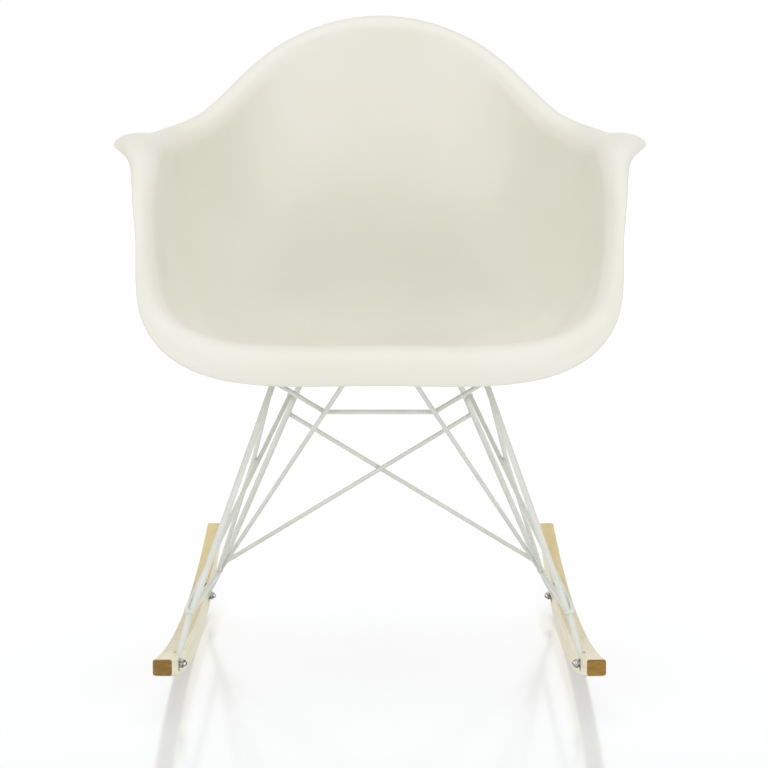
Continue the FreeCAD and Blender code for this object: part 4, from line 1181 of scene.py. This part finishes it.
def make_plate(name, x, y, z):
    """A plate with round corners, whose underside is at the height z."""
    bpy.ops.object.select_all(action="DESELECT")
    bpy.ops.mesh.primitive_cube_add(
        size=2, location=Vector((x, y, z + PLATE_THICK / 2.0)) * MM,
        scale=Vector((PLATE_HALF_LONG, PLATE_HALF_WIDE, PLATE_THICK / 2.0)) * MM)
    plate = named(name)
    start_edit(plate)
    pick(plate, "edges", lambda edge: abs(edge.verts[0].co.z - edge.verts[1].co.z) > 0.001)
    bpy.ops.mesh.bevel(offset=PLATE_CORNER * MM, segments=10)
    end_edit()
    return plate


for end, (x, y, z), top in (("front", FRONT_SCREW, FRONT_TOP), ("rear", REAR_SCREW, REAR_TOP)):
    plate = make_plate("mount_plate_%s_right_steel" % end, (x + top.x) / 2.0, y, z)
    cut(plate, round_bar("drill", SCREW_HOLE, (x, y, z - 3.0), (x, y, z + 6.0)))
    rounded(plate, 0.4, 2, 60.0)
    tidy_mesh(plate)
    spot = Matrix.Translation(Vector((x, y, z)) * MM)
    boss_foot = PLATE_THICK + SPACER_THICK
    disc = make_ring("shock_mount_%s_right_disc" % end, DISC_RADIUS, SCREW_HOLE, PLATE_THICK,
                     boss_foot, 1.1)
    insert = make_ring("threaded_insert_%s_right_sleeve" % end, INSERT_RADIUS, INSERT_BORE,
                       boss_foot, boss_foot + INSERT_TALL, 0.4)
    screw = make_screw("seat_screw_%s_right_screw" % end, SCREW_HEAD, SCREW_SHANK, SCREW_SOCKET)
    for stem, slot, piece in (("mount_plate", "fixing_steel", plate),
                              ("shock_mount", "mount_rubber", moved(disc, spot)),
                              ("threaded_insert", "insert_brass", moved(insert, spot)),
                              ("seat_screw", "fixing_steel", moved(screw, spot))):
        settle_then_mirror(piece, slot, "%s_%s" % (stem, end))
print("seat fixing made")

# %% [markdown]
# ## Stage and light
#
# The studio is white all round, so what is mirrored is white and no shadow is dark. Most of the
# light comes from a very wide lamp above and two wide ones low in front, left and right. They are
# sun lamps with a broad disc, so their shadows are soft. For light that a matt surface takes in,
# the white surroundings count only for a third, which keeps the hollow of the seat a little
# darker than its lip. The floor is pale and polished, and has some glow of its own, because it
# would look grey under so little light. It mirrors the rockers faintly and blurred.

# %% Floor


def polished_floor():
    finish = Finish("polished_white_floor")
    place = finish.place()
    haze = finish.noise(place, 3.0, 2.0)
    tone = finish.mix(haze, paint(158, 160, 162), paint(164, 166, 168))
    return finish.dress(
        Base_Color=tone, Roughness=0.13 + haze * 0.05, IOR=2.2,
        Emission_Color=(1.0, 1.0, 1.0, 1.0), Emission_Strength=0.45)


bpy.ops.object.select_all(action="DESELECT")
bpy.ops.mesh.primitive_plane_add(size=60.0)
floor = named("floor")
floor.data.materials.append(polished_floor())

# %% Lamps and world


def far_lamp(name, round_way, up, width, strength):
    """A wide lamp far away. Its angles, in degrees, are round from the front, and up."""
    light = bpy.data.lights.new(name, "SUN")
    light.angle = radians(width)
    light.color = (0.975, 1.0, 1.0)
    light.energy = strength
    holder = bpy.data.objects.new(name, light)
    bpy.context.scene.collection.objects.link(holder)
    round_way, up = radians(round_way), radians(up)
    towards = Vector((sin(round_way) * cos(up), -cos(round_way) * cos(up), sin(up)))
    holder.location = towards * 3.0
    holder.rotation_euler = towards.to_track_quat("Z", "Y").to_euler()


far_lamp("overhead", 0.0, 90.0, 60.0, 1.08)
far_lamp("front_left", -50.0, 18.0, 42.0, 0.84)
far_lamp("front_right", 50.0, 18.0, 42.0, 0.84)
bpy.context.scene.view_settings.view_transform = "Standard"

# strength of the white as it is seen and mirrored, and as it lights a matt surface
SEEN_WHITE, MATT_WHITE = 1.0, 0.36
world = bpy.data.worlds.new("studio")
bpy.context.scene.world = world
world.use_nodes = True
nodes, links = world.node_tree.nodes, world.node_tree.links
ray = nodes.new("ShaderNodeLightPath")
strength = nodes.new("ShaderNodeMapRange")
strength.inputs["To Min"].default_value = SEEN_WHITE
strength.inputs["To Max"].default_value = MATT_WHITE
links.new(ray.outputs["Is Diffuse Ray"], strength.inputs["Value"])
nodes["Background"].inputs["Color"].default_value = (1.0, 1.0, 1.0, 1.0)
links.new(strength.outputs["Result"], nodes["Background"].inputs["Strength"])
